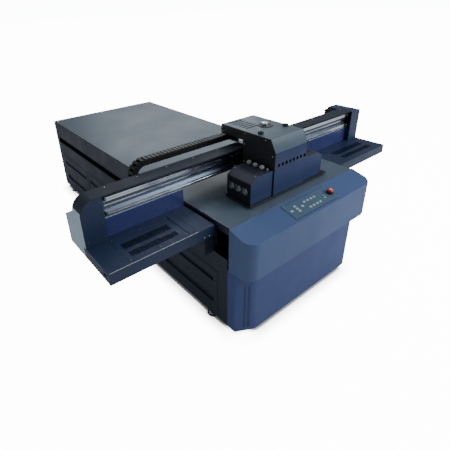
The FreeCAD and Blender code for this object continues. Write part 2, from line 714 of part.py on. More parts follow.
def head():
    plate = block(("head_x - lamp_outer - 12", "head_x + lamp_outer + 62"), ("73", "315"),
                  ("10", "head_base"))
    opening = block(("head_x - 120", "head_x + 120"), ("110", "300"), ("9", "21"))
    windows = [block((f"head_x + {middle} - 70", f"head_x + {middle} + 70"), ("115", "285"), ("9", "21"))
               for middle in (-270, 270)]
    subpart("base_plate", cut(plate, opening, *windows))
    heads, tanks = [], []
    for n in range(6):
        x = f"head_x - 117 + 39.5 * {n}"
        body = block((x, f"{x} + 36"), ("114", "296"), ("6", "90"))
        flange = block((x, f"{x} + 36"), ("104", "306"), ("head_base", "26"))
        heads.append(fuse(body, flange))
        tanks.append(block((x, f"{x} + 34"), ("130", "290"), ("90", "190")))
    subpart("print_heads", *heads)
    subpart("ink_tanks", *tanks)


def lamp_outline(inset):
    outer, inner = f"head_x - lamp_outer + {inset}", f"head_x - lamp_inner - {inset}"
    low = "head_base" if inset == "0" else "head_base - 5"
    return [(inner, low), (outer, low), (outer, f"lamp_shoulder - {inset} * 0.6"),
            (f"head_x - lamp_flat + {inset} * 0.4", f"lamp_crown - {inset}"),
            (inner, f"lamp_crown - {inset}")]


FANS = {"front": 0, "middle": 1, "rear": 2}


def fan_y(n):
    return f"fan_first + {n} * fan_pitch"


def lamps():
    outer = prism("XZ", lamp_outline("0"), "lamp_front", "lamp_rear")
    inner = prism("XZ", lamp_outline("4"), "lamp_front + 4", "lamp_rear - 4")
    face = "head_x - lamp_outer"
    holes = [rod("x", (f"{face} - 1", fan_y(n), "fan_z"), "8", "fan_radius + 1") for n in FANS.values()]
    struts = [block((f"{face} + 19", f"{face} + 22"), (f"{fan_y(n)} - 4", f"{fan_y(n)} + 4"),
                    ("head_base", "lamp_shoulder + 11")) for n in FANS.values()]
    left = fuse(cut(outer, inner, *holes), *struts)
    subpart("left_lamp", left)
    subpart("right_lamp", mirrored(left, "head_x"))
    for place, n in FANS.items():
        hub = rod("x", (f"{face} + 5", fan_y(n), "fan_z"), "13", "10")
        blades = []
        for k in range(7):
            blade = doc.addObject("Part::Box", "blade")
            blade.Length, blade.Width, blade.Height = 10, 2, SIZES["fan_radius"] - 9
            angle = 360 * k / 7
            turn = FreeCAD.Rotation(V(1, 0, 0), angle) * FreeCAD.Rotation(V(0, 0, 1), 32)
            corner = turn.multVec(V(-5, -1, 8))
            blade.Placement = FreeCAD.Placement(V(), turn)
            at(blade, f"{face} + 11.5 + ({corner.x:.6f})", f"{fan_y(n)} + ({corner.y:.6f})",
               f"fan_z + ({corner.z:.6f})")
            blades.append(blade)
        rotor = fuse(hub, *blades)
        subpart(f"left_lamp_fan_{place}", rotor)
        subpart(f"right_lamp_fan_{place}", mirrored(rotor, "head_x"))


def lift():
    body = block(("lift_x - 28", "lift_x + 28"), ("lift_y - 28", "lift_y + 22"), ("342", "hood_crown - 3"))
    bore = rod("z", ("lift_x", "lift_y", "335"), "80", "lift_radius + 0.3")
    subpart("lift_motor", cut(body, bore))
    shaft = rod("z", ("lift_x", "lift_y", "130"), "hood_crown + 8 - 130", "lift_radius")
    collar = rod("z", ("lift_x", "lift_y", "hood_crown + 2"), "6", "18")
    knob = rod("z", ("lift_x", "lift_y", "hood_crown + 8"), "14", "25")
    subpart("lift_screw", fuse(shaft, collar, knob))


# ---------------------------------------------------------------- build and write

for make in (base_frame, side_panels, side_covers, rear_panel, front_cladding, console, bed, y_drive,
             levelling_feet, beam, beam_covers, pedestals, trays, legs, x_drive, chain, slider, hood, head,
             lamps, lift):
    make()
doc.recompute()

failed = [o.Label for o in doc.Objects if {"Invalid", "Error"} & set(o.State)]
failed += [n.Label for n in subparts if n.Shape.isNull() or not n.Shape.isValid() or not n.Shape.Solids]
if failed:
    raise SystemExit(f"failed: {failed}")

os.makedirs("parts", exist_ok=True)
for node in subparts:
    node.Shape.exportStep(f"parts/{node.Label}.step")
    box = node.Shape.BoundBox
    print(f"{node.Label:22s} {len(node.Shape.Solids)} solids, {node.Shape.Volume / 1e6:9.3f} litres",
          [round(c) for c in (box.XMin, box.XMax, box.YMin, box.YMax, box.ZMin, box.ZMax)])
print(len(subparts), "nodes")
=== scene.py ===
import math

import bmesh
import bpy
from mathutils import Matrix, Vector


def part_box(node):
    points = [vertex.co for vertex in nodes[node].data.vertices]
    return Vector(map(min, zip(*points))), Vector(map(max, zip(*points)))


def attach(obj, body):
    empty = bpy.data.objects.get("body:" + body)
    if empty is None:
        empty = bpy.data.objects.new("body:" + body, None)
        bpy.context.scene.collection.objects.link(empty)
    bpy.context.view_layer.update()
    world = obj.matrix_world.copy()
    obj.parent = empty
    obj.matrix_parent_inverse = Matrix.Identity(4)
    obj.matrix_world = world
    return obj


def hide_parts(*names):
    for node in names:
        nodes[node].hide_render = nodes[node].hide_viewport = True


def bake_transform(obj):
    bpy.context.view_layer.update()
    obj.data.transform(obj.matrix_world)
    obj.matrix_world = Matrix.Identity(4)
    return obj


# A flatbed UV printer: a closed cabinet under a long bed, and a gantry that carries the print head.
#
# Shapes are given in millimetres from the bed's datum: x from its centre line, y back from its front edge
# and z up from its top. place() turns them into the row frame's metres, which materials and lights use.

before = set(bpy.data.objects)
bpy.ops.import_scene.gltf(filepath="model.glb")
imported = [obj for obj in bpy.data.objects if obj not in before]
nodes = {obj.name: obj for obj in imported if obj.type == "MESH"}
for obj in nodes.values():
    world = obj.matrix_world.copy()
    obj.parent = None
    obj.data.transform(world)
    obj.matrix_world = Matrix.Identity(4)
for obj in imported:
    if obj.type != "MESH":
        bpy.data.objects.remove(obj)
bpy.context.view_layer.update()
scene = bpy.context.scene

MM = 0.001
bed_low, bed_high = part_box("bed_table")
DATUM = Vector((0, bed_low.y, bed_high.z))


def place(x, y, z):
    """A point in the row frame's metres, from the datum's millimetres."""
    return DATUM + Vector((x, y, z)) * MM


def span(node):
    """A CAD node's lowest and highest corners, in the datum's millimetres."""
    low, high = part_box(node)
    return (low - DATUM) / MM, (high - DATUM) / MM


def middle_of(node):
    low, high = span(node)
    return (low + high) / 2


# ---------------- camera


def make_camera():
    """A camera fitted to the photograph's outlines of the bed, console, trays and beam."""
    data = bpy.data.cameras.new("camera")
    data.sensor_width = 36
    data.lens = 29.36
    data.shift_x = 0.054
    data.shift_y = -0.088
    data.clip_end = 200
    camera = bpy.data.objects.new("camera", data)
    scene.collection.objects.link(camera)
    camera.location = place(-1913.6, -1348, 1224.7)
    camera.rotation_euler = [math.radians(angle) for angle in (63.21, 1.61, -38.74)]
    scene.camera = camera


# ---------------- materials


MIX_COLOURS, MIX_RESULT = slice(6, 8), 2  # a Mix node's colour sockets


class Paint:
    """A Principled material and the small node network that gives it its detail."""

    def __init__(self, name, colour, roughness, metallic=0.0):
        self.material = bpy.data.materials.new(name)
        self.material.use_nodes = True
        tree = self.material.node_tree
        self.node = lambda kind: tree.nodes.new("ShaderNode" + kind)
        self.link = tree.links.new
        self.shader = tree.nodes["Principled BSDF"]
        self.colour = colour
        self.roughness = roughness
        for socket, value in (("Base Color", (*colour, 1)), ("Roughness", roughness), ("Metallic", metallic),
                              ("IOR", 1.5)):
            self.shader.inputs[socket].default_value = value
        self.where = self.node("TexCoord").outputs["Object"]
        self.normal = None

    def stretched(self, scale):
        """The surface's own coordinates, scaled along each axis."""
        mapping = self.node("Mapping")
        mapping.inputs["Scale"].default_value = scale
        self.link(self.where, mapping.inputs["Vector"])
        return mapping.outputs["Vector"]

    def noise(self, scale, detail, along=(1, 1, 1)):
        texture = self.node("TexNoise")
        texture.inputs["Scale"].default_value = scale
        texture.inputs["Detail"].default_value = detail
        self.link(self.stretched(along), texture.inputs["Vector"])
        return texture.outputs["Fac"]

    def ranged(self, value, low, high, start=0.3, end=0.7):
        """Spreads a texture's middle values over a range."""
        spread = self.node("MapRange")
        for socket, number in zip(("From Min", "From Max", "To Min", "To Max"), (start, end, low, high)):
            spread.inputs[socket].default_value = number
        self.link(value, spread.inputs["Value"])
        return spread.outputs["Result"]

    def mixed(self, factor, first, second):
        """A mix of two colours, each a triple or a socket."""
        mix = self.node("Mix")
        mix.data_type = "RGBA"
        for socket, colour in zip(mix.inputs[MIX_COLOURS], (first, second)):
            if isinstance(colour, bpy.types.NodeSocket):
                self.link(colour, socket)
            else:
                socket.default_value = (*colour, 1)
        self.link(factor, mix.inputs["Factor"])
        return mix.outputs[MIX_RESULT]

    def colour_from(self, socket):
        self.link(socket, self.shader.inputs["Base Color"])
        return self

    def vary_colour(self, scale, amount, along=(1, 1, 1)):
        """Clouds of a slightly darker and lighter shade."""
        dark = [c * (1 - amount) for c in self.colour]
        light = [min(1, c * (1 + amount)) for c in self.colour]
        clouds = self.ranged(self.noise(scale, 3, along), 0, 1)
        return self.colour_from(self.mixed(clouds, dark, light))

    def vary_gloss(self, scale, amount, along=(1, 1, 1)):
        """Smudges where the surface is duller."""
        smudges = self.noise(scale, 5, along)
        gloss = self.ranged(smudges, self.roughness - amount / 2, self.roughness + amount)
        self.link(gloss, self.shader.inputs["Roughness"])
        return self

    def bump(self, scale, depth, strength, along=(1, 1, 1)):
        """Relief of a given depth in metres, laid over any relief there is already."""
        relief = self.node("Bump")
        relief.inputs["Strength"].default_value = strength
        relief.inputs["Distance"].default_value = depth
        self.link(self.noise(scale, 2, along), relief.inputs["Height"])
        if self.normal:
            self.link(self.normal, relief.inputs["Normal"])
        self.normal = relief.outputs["Normal"]
        self.link(self.normal, self.shader.inputs["Normal"])
        return self


def powder_coat(name, colour, roughness, grain=0.25):
    """Sprayed powder coat: a fine orange peel, faint clouds and wiped smudges."""
    paint = Paint(name, colour, roughness)
    paint.vary_colour(1.7, 0.10).vary_gloss(5.0, 0.10)
    paint.bump(900, 0.0004, grain).bump(60, 0.0006, 0.05)
    return paint.material


def brushed(name, colour, roughness, along):
    """Metal with grain drawn out along one axis."""
    paint = Paint(name, colour, roughness, metallic=1.0)
    paint.vary_colour(40, 0.06, along).vary_gloss(60, 0.10, along).bump(500, 0.0002, 0.2, along)
    return paint.material


def moulded(name, colour, roughness, grain=0.3):
    """Injection-moulded plastic with a fine spark-eroded texture."""
    paint = Paint(name, colour, roughness)
    paint.vary_colour(6, 0.12).vary_gloss(14, 0.08).bump(1500, 0.0002, grain)
    return paint.material


def gloss_plastic(name, colour):
    """Shiny moulded plastic under a clear coat."""
    paint = Paint(name, colour, 0.14)
    paint.vary_colour(25, 0.06).vary_gloss(30, 0.05).bump(180, 0.0001, 0.06)
    paint.shader.inputs["Coat Weight"].default_value = 0.5
    paint.shader.inputs["Coat Roughness"].default_value = 0.06
    return paint.material


def bed_face():
    """Grey anodised plate, drilled with a close grid of small suction holes."""
    paint = Paint("bed_face", (0.094, 0.134, 0.182), 0.35)
    faint = paint.ranged(paint.noise(0.9, 4), 0, 1)
    clouds = paint.mixed(faint, (0.088, 0.126, 0.172), (0.100, 0.142, 0.192))
    grid = paint.node("TexVoronoi")
    grid.feature = "F1"
    grid.inputs["Scale"].default_value = 1
    grid.inputs["Randomness"].default_value = 0
    pitch = 0.025  # metres
    hole, edge = 0.035, 0.05  # radii, as shares of the pitch
    paint.link(paint.stretched((1 / pitch, 1 / pitch, 0.0001)), grid.inputs["Vector"])
    holes = paint.ranged(grid.outputs["Distance"], 1, 0, hole, edge)
    paint.colour_from(paint.mixed(holes, clouds, (0.05, 0.065, 0.08)))
    paint.vary_gloss(3, 0.08).bump(700, 0.0002, 0.12, (1, 0.05, 1))
    return paint.material


def belt_rubber():
    """Black rubber with ribs across the belt."""
    paint = Paint("belt_rubber", (0.018, 0.018, 0.020), 0.62)
    paint.vary_colour(30, 0.2).vary_gloss(20, 0.08).bump(40, 0.0004, 0.4, (6, 1, 1))
    return paint.material


NAVY = powder_coat("navy_coat", (0.075, 0.130, 0.290), 0.34)
CLADDING_BLUE = powder_coat("cladding_coat", (0.050, 0.086, 0.250), 0.38)
NAVY_DARK = powder_coat("dark_navy_coat", (0.018, 0.023, 0.046), 0.46)
NAVY_TRAY = powder_coat("tray_coat", (0.020, 0.036, 0.086), 0.38)
NAVY_GLOSS = powder_coat("gloss_navy_coat", (0.040, 0.054, 0.190), 0.24, 0.10)
HOOD_BLUE = powder_coat("hood_coat", (0.015, 0.036, 0.120), 0.36)
BLACK_COAT = powder_coat("black_coat", (0.010, 0.011, 0.014), 0.40)
GREY_COAT = powder_coat("grey_coat", (0.095, 0.145, 0.190), 0.36)
BEAM_COAT = powder_coat("beam_coat", (0.010, 0.019, 0.036), 0.58)
TOWER_COAT = powder_coat("tower_coat", (0.026, 0.046, 0.118), 0.40)
# A pale coat that stands for light: painted light on the faces that catch it, the pedestals' ends and tops
# and the beam cover's left face.
PAINTED_LIGHT_COAT = powder_coat("painted_light_coat", (0.50, 0.64, 0.78), 0.40)
FRAME_COAT = powder_coat("frame_coat", (0.020, 0.023, 0.028), 0.5)
CHROME = brushed("rail_chrome", (0.78, 0.83, 0.90), 0.16, (0.02, 1, 1))
STEEL = brushed("ground_steel", (0.55, 0.57, 0.60), 0.30, (1, 0.05, 1))
# Dark steel for screws; on the rails and screws inside the cabinet its darkness is also painted shade.
DARK_STEEL = brushed("dark_steel_and_shade", (0.16, 0.17, 0.18), 0.35, (1, 0.05, 1))
BEAM_METAL = brushed("anodised_beam", (0.17, 0.20, 0.25), 0.36, (0.03, 1, 1))
ALUMINIUM = brushed("satin_aluminium", (0.62, 0.65, 0.69), 0.32, (0.03, 1, 1))
BRIGHT = brushed("bright_zinc", (0.82, 0.84, 0.86), 0.22, (1, 1, 0.2))
CHAIN_PLASTIC = moulded("chain_plastic", (0.012, 0.013, 0.015), 0.42)
BLACK_PLASTIC = moulded("black_plastic", (0.014, 0.014, 0.016), 0.45)
GREY_PLASTIC = moulded("grey_plastic", (0.38, 0.40, 0.40), 0.40)
FAN_PLASTIC = moulded("fan_plastic", (0.42, 0.58, 0.66), 0.30)
KEY_WHITE = moulded("key_white", (0.62, 0.66, 0.68), 0.35, 0.1)
PANEL_FILM = powder_coat("panel_film", (0.085, 0.150, 0.235), 0.26, 0.12)
RED = gloss_plastic("stop_red", (0.55, 0.010, 0.016))
GREEN = gloss_plastic("start_green", (0.010, 0.50, 0.26))
RUBBER = moulded("foot_rubber", (0.02, 0.02, 0.02), 0.7)
INK_PLASTIC = moulded("ink_plastic", (0.05, 0.05, 0.06), 0.35)
BED_FACE = bed_face()
BELT = belt_rubber()


# ---------------- mesh helpers

CREASE_ANGLE = 40  # degrees; a sharper edge stays sharp


class Piece:
    """Collects solids into one mesh, then rides on a body as one piece."""

    def __init__(self, name, *paints):
        self.name = name
        self.paints = list(paints)
        self.bm = bmesh.new()

    def take(self, part, paint=None, turn=None):
        """Adds a solid in millimetres, painted with one of the piece's materials."""
        bmesh.ops.recalc_face_normals(part, faces=part.faces)
        if turn is not None:
            part.transform(turn)
        number = self.paints.index(paint) if paint else 0
        for face in part.faces:
            face.material_index = number
        scratch = bpy.data.meshes.new("scratch")
        part.to_mesh(scratch)
        part.free()
        self.bm.from_mesh(scratch)
        bpy.data.meshes.remove(scratch)

    def ride(self, body, slot, *replaced, in_metres=False):
        """Makes the piece an object on a body, in place of CAD nodes."""
        if not in_metres:
            self.bm.transform(Matrix.Translation(DATUM) @ Matrix.Scale(MM, 4))
        mesh = bpy.data.meshes.new(self.name)
        self.bm.to_mesh(mesh)
        self.bm.free()
        for paint in self.paints:
            mesh.materials.append(paint)
        mesh.polygons.foreach_set("use_smooth", [True] * len(mesh.polygons))
        mesh.set_sharp_from_angle(angle=math.radians(CREASE_ANGLE))
        thing = bpy.data.objects.new(self.name, mesh)
        scene.collection.objects.link(thing)
        thing.modifiers.new("even_shading", "WEIGHTED_NORMAL").keep_sharp = True
        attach(thing, body)
        if replaced:
            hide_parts(*replaced)
        return thing


def rounded_box(corner, opposite, radius=1.0, segments=2):
    """A box between two opposite corners, with all its edges rounded."""
    part = bmesh.new()
    bmesh.ops.create_cube(part, size=1)
    size = [abs(b - a) for a, b in zip(corner, opposite)]
    middle = [(a + b) / 2 for a, b in zip(corner, opposite)]
    part.transform(Matrix.Translation(middle) @ Matrix.Diagonal((*size, 1)))
    width = min(radius, 0.45 * min(size))
    bmesh.ops.bevel(part, geom=part.edges[:], offset=width, segments=segments, profile=0.5, affect="EDGES")
    return part


def facing(axis):
    """The turn that points Z along an axis."""
    return Vector((0, 0, 1)).rotation_difference(Vector(axis)).to_matrix().to_4x4()


def around(count, radius, centre=(0, 0), start=0.0):
    """Points evenly spaced on a circle, from an angle in radians."""
    turns = [start + 2 * math.pi * k / count for k in range(count)]
    return [(centre[0] + radius * math.cos(a), centre[1] + radius * math.sin(a)) for a in turns]


def lathe(profile, centre, axis=(0, 0, 1), steps=28):
    """Turns (radius, height) points about an axis that starts at centre."""
    part = bmesh.new()
    rings = []
    for radius, height in profile:
        circle = around(steps, radius) if radius else [(0, 0)]
        rings.append([part.verts.new((x, y, height)) for x, y in circle])
    for lower, upper in zip(rings, rings[1:]):
        for k in range(steps):
            loop = [lower[k % len(lower)], lower[(k + 1) % len(lower)],
                    upper[(k + 1) % len(upper)], upper[k % len(upper)]]
            part.faces.new(list(dict.fromkeys(loop)))
    part.transform(Matrix.Translation(centre) @ facing(axis))
    return part


def drum(radius, length, bevel=0.6):
    """A solid disc's profile with rounded rims."""
    return [(0, 0), (radius - bevel, 0), (radius, bevel), (radius, length - bevel), (radius - bevel, length),
            (0, length)]


def ring(inner, outer, length, bevel=0.6):
    """A ring's profile, which ends where it starts."""
    return [(inner, bevel), (inner + bevel, 0), (outer - bevel, 0), (outer, bevel), (outer, length - bevel),
            (outer - bevel, length), (inner + bevel, length), (inner, length - bevel), (inner, bevel)]


def screw(centre, axis, radius=4.0):
    """A button-head screw with a socket in its crown."""
    r = radius
    profile = [(0, 0), (r, 0), (r, 0.25 * r), (0.8 * r, 0.5 * r), (0.52 * r, 0.6 * r), (0.45 * r, 0.6 * r),
               (0.42 * r, 0.2 * r), (0, 0.2 * r)]
    return lathe(profile, centre, axis, 16)


def hexagon(radius, length, centre):
    """An upright six-sided nut or fitting with chamfered ends."""
    neck, chamfer = 0.93 * radius, 0.12 * length
    profile = [(0, 0), (neck, 0), (radius, chamfer), (radius, length - chamfer), (neck, length), (0, length)]
    return lathe(profile, centre, steps=6)


def ribs(piece, paint, count, radius, centre, half, bottom, top, rounding):
    """Upright grip ribs round a knob."""
    for x, y in around(count, radius, centre):
        piece.take(rounded_box((x - half, y - half, bottom), (x + half, y + half, top), rounding), paint)


def smooth_path(points, steps):
    """A Catmull-Rom spline through points, each stretch cut into steps."""
    knots = [Vector(p) for p in points]
    path = []
    for n in range(len(knots) - 1):
        before, here = knots[max(n - 1, 0)], knots[n]
        there, after = knots[n + 1], knots[min(n + 2, len(knots) - 1)]
        for k in range(steps):
            t = k / steps
            path.append(0.5 * ((2 * here) + (there - before) * t
                               + (2 * before - 5 * here + 4 * there - after) * t * t
                               + (3 * here - before - 3 * there + after) * t ** 3))
    path.append(knots[-1])
    return path


def hose(points, radius, steps, smooth):
    """A round tube through points, on a smooth spline."""
    path = smooth_path(points, smooth)
    part = bmesh.new()
    rings = []
    side = (path[1] - path[0]).normalized().orthogonal().normalized()
    for n, spot in enumerate(path):
        heading = (path[min(n + 1, len(path) - 1)] - path[max(n - 1, 0)]).normalized()
        side = (side - heading * side.dot(heading)).normalized()
        up = heading.cross(side)
        rings.append([part.verts.new(spot + x * side + y * up) for x, y in around(steps, radius)])
    for lower, upper in zip(rings, rings[1:]):
        for k in range(steps):
            part.faces.new((lower[k], lower[(k + 1) % steps], upper[(k + 1) % steps], upper[k]))
    part.faces.new(rings[0][::-1])
    part.faces.new(rings[-1])
    return part


FOLD_ANGLE = 35  # degrees; a CAD edge sharper than this is rounded


def refined(node, body, slot, paint, width=1.2, faces=None, paints=()):
    """The CAD node's shell with its folded edges rounded, which stands for the node.

    faces, if given, says which paint each face has: 0 for paint, 1 and on for paints.
    """
    piece = Piece(node + "_shell", paint, *paints)
    bm = piece.bm
    bm.from_mesh(nodes[node].data)
    bmesh.ops.remove_doubles(bm, verts=bm.verts, dist=1e-6)
    bmesh.ops.dissolve_limit(bm, angle_limit=math.radians(0.5), verts=bm.verts[:], edges=bm.edges[:])
    folded = [e for e in bm.edges
              if len(e.link_faces) == 2 and e.calc_face_angle(0) > math.radians(FOLD_ANGLE)]
    bmesh.ops.bevel(bm, geom=folded, offset=width * MM, segments=2, profile=0.5, affect="EDGES",
                    clamp_overlap=True)
    for face in bm.faces:
        face.material_index = faces(face) if faces else 0
    return piece.ride(body, slot, node, in_metres=True)


def repaint(paint, *names):
    """Gives CAD nodes that keep their own shape a finished material."""
    for name in names:
        mesh = nodes[name].data
        mesh.materials.clear()
        mesh.materials.append(paint)


# ---------------- cabinet

COVERS_A_SIDE = 4
COVER_LENGTH = 692
COVER_SCREW_ROWS = (-420, -740)
COVER_LOCK_LEVEL = -576
SLOT_FRONT, SLOT_BACK = 126, 2955
SLOT_EDGES = (-176, -237)
FOOT_RADIUS = 44
FOOT_ROWS = (200, 1522, 2844)


def upward(face):
    return face.normal.z > 0.6


def cabinet_shells():
    for side in ("left", "right"):
        refined(f"{side}_side_panel", "cabinet", "navy_paint", NAVY_DARK)
    refined("side_covers", "cabinet", "navy_paint", NAVY_DARK, 1.3)
    refined("rear_panel", "cabinet", "navy_paint", NAVY_DARK, 0.8)
    refined("front_cladding", "cabinet", "navy_paint", CLADDING_BLUE, 2.5)
    refined("console_housing", "cabinet", "navy_paint", NAVY, 1.3)
    refined("bed_table", "cabinet", "bed_aluminium", BED_FACE, 2.5,
            faces=lambda face: 0 if upward(face) else 1, paints=(NAVY_DARK,))
    # The base frame, Y rails and Y screws inside the cabinet are painted dark: painted shade, so the gap
    # beside the bed reads black.
    repaint(FRAME_COAT, "base_frame", "vacuum_blower")
    repaint(GREY_COAT, "electronics_cabinet")
    repaint(DARK_STEEL, "y_guide_rails", "y_screw_left", "y_screw_right")
    repaint(BLACK_COAT, "y_motors")
    repaint(BLACK_PLASTIC, "power_inlet")


def floor_pan():
    """The sheet that closes the cabinet underneath, and its step into the front cladding."""
    low, high = span("base_frame")
    cladding_low, _ = span("front_cladding")
    bottom, top = low.z + 0.5, low.z + 3
    half_width, step_half_width, seam = 652, 528, 15
    pan = Piece("cabinet_floor_pan", FRAME_COAT)
    pan.take(rounded_box((-half_width, seam + 1, bottom), (half_width, high.y + 10, top)))
    pan.take(rounded_box((-step_half_width, cladding_low.y + 11, bottom), (step_half_width, seam - 1, top)))
    pan.ride("cabinet", "frame_steel")


def bed_highlight_and_gasket():
    """Bright metal strips along the bed's side edges, a painted highlight where the folded edges catch the
    light, and the dark gasket in its seam with the console.
    """
    low, high = span("bed_table")
    trim = Piece("bed_edge_highlight_and_gasket", ALUMINIUM, BLACK_PLASTIC)
    inset, half, end_gap = 1.2, 1.1, 4
    # Bright metal strips on the side edges: a painted highlight on the folded edges.
    for x in (low.x + inset, high.x - inset):
        trim.take(rounded_box((x - half, end_gap, -2.6), (x + half, high.y - end_gap, -0.05), 0.9))
    trim.take(rounded_box((low.x + 6, 3, -4), (high.x - 6, 6, 0)), BLACK_PLASTIC)
    trim.ride("cabinet", "bed_aluminium")


def cover_lock(hardware, side, spot):
    """A quarter-turn lock: a plastic ring, a steel barrel and its slot."""
    x, y, z = spot
    hardware.take(lathe(ring(9, 15, 2.4), spot, (side, 0, 0)), BLACK_PLASTIC)
    hardware.take(lathe(drum(9, 1.6), spot, (side, 0, 0)), DARK_STEEL)
    slot = rounded_box((x + side * 0.2, y - 1.3, z - 6.5), (x + side * 2, y + 1.3, z + 6.5), 0.4)
    hardware.take(slot, BLACK_PLASTIC)


def side_hardware():
    """Quarter-turn locks on the service covers and screws along the panels."""
    covers_low, covers_high = span("side_covers")
    _, panel_high = span("right_side_panel")
    cover_pitch = (covers_high.y - covers_low.y - COVER_LENGTH) / (COVERS_A_SIDE - 1)
    margin, panel_margin, panel_screws = 18, 60, 9
    screw_pitch = (panel_high.y - 2 * panel_margin) / (panel_screws - 1)
    hardware = Piece("cabinet_hardware", BLACK_PLASTIC, DARK_STEEL)
    for side in (-1, 1):
        face = side * covers_high.x
        for bay in range(COVERS_A_SIDE):
            front = covers_low.y + cover_pitch * bay
            for y in (front + margin, front + COVER_LENGTH - margin):
                for z in COVER_SCREW_ROWS:
                    hardware.take(screw((face, y, z), (side, 0, 0), 5), DARK_STEEL)
            cover_lock(hardware, side, (face, front + COVER_LENGTH / 2, COVER_LOCK_LEVEL))
        wall = side * panel_high.x
        for n in range(panel_screws):
            y = panel_margin + n * screw_pitch
            hardware.take(screw((wall, y, -345), (side, 0, 0)), DARK_STEEL)
            hardware.take(screw((wall, max(y, 150), -110), (side, 0, 0)), DARK_STEEL)
    hardware.ride("cabinet", "black_plastic")


def slot_lips():
    """Rubber lips above and below the slots that the gantry's legs travel in."""
    lips = Piece("slot_lips", RUBBER)
    for side in (-1, 1):
        for z in SLOT_EDGES:
            lips.take(rounded_box((side * 655, SLOT_FRONT, z - 3), (side * 658, SLOT_BACK, z + 3)))
    lips.ride("cabinet", "black_plastic")


def levelling_feet():
    """Rubber pads under steel bells, with threaded posts and lock nuts."""
    low, high = span("levelling_feet")
    foot_x = high.x - FOOT_RADIUS
    pad = [(0, 0), (FOOT_RADIUS - 4, 0), (FOOT_RADIUS, 3), (FOOT_RADIUS, 10), (FOOT_RADIUS - 2, 14),
           (FOOT_RADIUS - 7, 14), (0, 14)]
    bell = [(0, 13), (36, 13.8), (34, 17), (18, 24), (14, 27), (0, 27)]
    crest, root, thread_pitch, post_top = 9, 7.8, 1.95, 41.9
    post = [(0, 24)]
    for turn in range(9):
        post += [(crest, 24.2 + turn * thread_pitch), (root, 25.2 + turn * thread_pitch)]
    post += [(8, post_top), (0, post_top)]
    feet = Piece("levelling_feet_turned", RUBBER, STEEL)
    for x in (-foot_x, foot_x):
        for y in FOOT_ROWS:
            feet.take(lathe(pad, (x, y, low.z)), RUBBER)
            feet.take(lathe(bell, (x, y, low.z)), STEEL)
            feet.take(lathe(post, (x, y, low.z), steps=20), STEEL)
            feet.take(hexagon(15, 8, (x, y, low.z + 33.8)), STEEL)
    feet.ride("cabinet", "foot_metal", "levelling_feet")


def rear_details():
    """Filters behind the vents, and screws round the panel and the power inlet."""
    low, high = span("rear_panel")
    rear = Piece("rear_fittings", STEEL, FRAME_COAT)
    for left in (-510, 150):
        rear.take(rounded_box((left, high.y - 22, -625), (left + 360, high.y - 12, -310), 3), FRAME_COAT)
    for x in (low.x + 22, 0, high.x - 22):
        for z in (low.z + 22, -430, high.z - 14):
            if (x, z) != (0, -430):
                rear.take(screw((x, high.y - 2.4, z), (0, 1, 0)), STEEL)
    for x in (-42, 42):
        rear.take(screw((x, high.y - 2.2, -695), (0, 1, 0), 2.4), STEEL)
    rear.ride("cabinet", "black_plastic")


# ---------------- console

CONSOLE_FALL, CONSOLE_DEPTH = 46, 182
ON_SLOPE = Matrix.Rotation(math.atan2(CONSOLE_FALL, CONSOLE_DEPTH), 4, "X")

# These are x and y on the slope.
PLATE_LOW, PLATE_HIGH = Vector((-225, -168)), Vector((250, -26))
JOG_KEYS = Vector((-133, -95))
START_KEY = (140, -112)
STOP_BUTTON = (217, -103)
PLATE_TOP = 2.1
KEY_TOP = 2.9


def key_cap(x, y, depth):
    """A domed key, in the slope's coordinates."""
    half_width = 10
    return rounded_box((x - half_width, y - depth / 2, 1.6), (x + half_width, y + depth / 2, KEY_TOP), 1.2, 3)


def arrow(x, y, angle):
    """A small raised arrow head."""
    part = bmesh.new()
    outline = [Vector((0, 5, 0)), Vector((4.5, -3.5, 0)), Vector((-4.5, -3.5, 0))]
    turn = Matrix.Translation((x, y, KEY_TOP - 0.02)) @ Matrix.Rotation(math.radians(angle), 4, "Z")
    lower = [part.verts.new(turn @ corner) for corner in outline]
    upper = [part.verts.new(turn @ (corner * 0.85 + Vector((0, 0, 0.4)))) for corner in outline]
    part.faces.new(lower[::-1])
    part.faces.new(upper)
    for n in range(3):
        part.faces.new((lower[n], lower[(n + 1) % 3], upper[(n + 1) % 3], upper[n]))
    return part


def control_plate():
    """The membrane panel with its keys, and the start key's ring."""
    panel = Piece("control_panel_face", PANEL_FILM, KEY_WHITE, BLACK_PLASTIC, BRIGHT)

    def lay(part, paint):
        panel.take(part, paint, ON_SLOPE)

    low, high = PLATE_LOW, PLATE_HIGH
    lay(rounded_box((low.x, low.y, 0.1), (high.x, high.y, PLATE_TOP), 0.9), BLACK_PLASTIC)
    lay(rounded_box((low.x + 3, low.y + 3, 1.2), (high.x - 3, high.y - 3, 2.4), 0.6), PANEL_FILM)
    lay(rounded_box((low.x + 13, low.y + 12, -6), (high.x - 12, high.y - 12, 0.2), 2), BLACK_PLASTIC)
    for across, back, angle in ((0, 23, 0), (-54, 0, 90), (0, -23, 180), (54, 0, -90)):
        x, y = JOG_KEYS.x + across, JOG_KEYS.y + back
        lay(key_cap(x, y, 16), KEY_WHITE)
        lay(arrow(x, y, angle), BLACK_PLASTIC)
    lay(key_cap(*JOG_KEYS, 16), KEY_WHITE)
    lay(lathe(ring(3, 4.6, 0.5, 0.1), (*JOG_KEYS, KEY_TOP - 0.1), steps=20), BLACK_PLASTIC)
    for y in (-72, -130):
        for x in range(-32, 77, 36):
            lay(key_cap(x, y, 14), KEY_WHITE)
            lay(rounded_box((x - 5, y - 1, 2.7), (x + 5, y + 1, 3.1), 0.2), BLACK_PLASTIC)
    for x in (low.x + 9, high.x - 9):
        for y in (low.y + 9, high.y - 9):
            lay(screw((x, y, 2.2), (0, 0, 1), 3), BRIGHT)
    lay(lathe(ring(10.4, 15, 4.2, 1), (*START_KEY, PLATE_TOP), steps=36), BRIGHT)
    panel.ride("cabinet", "panel_film", "control_panel")


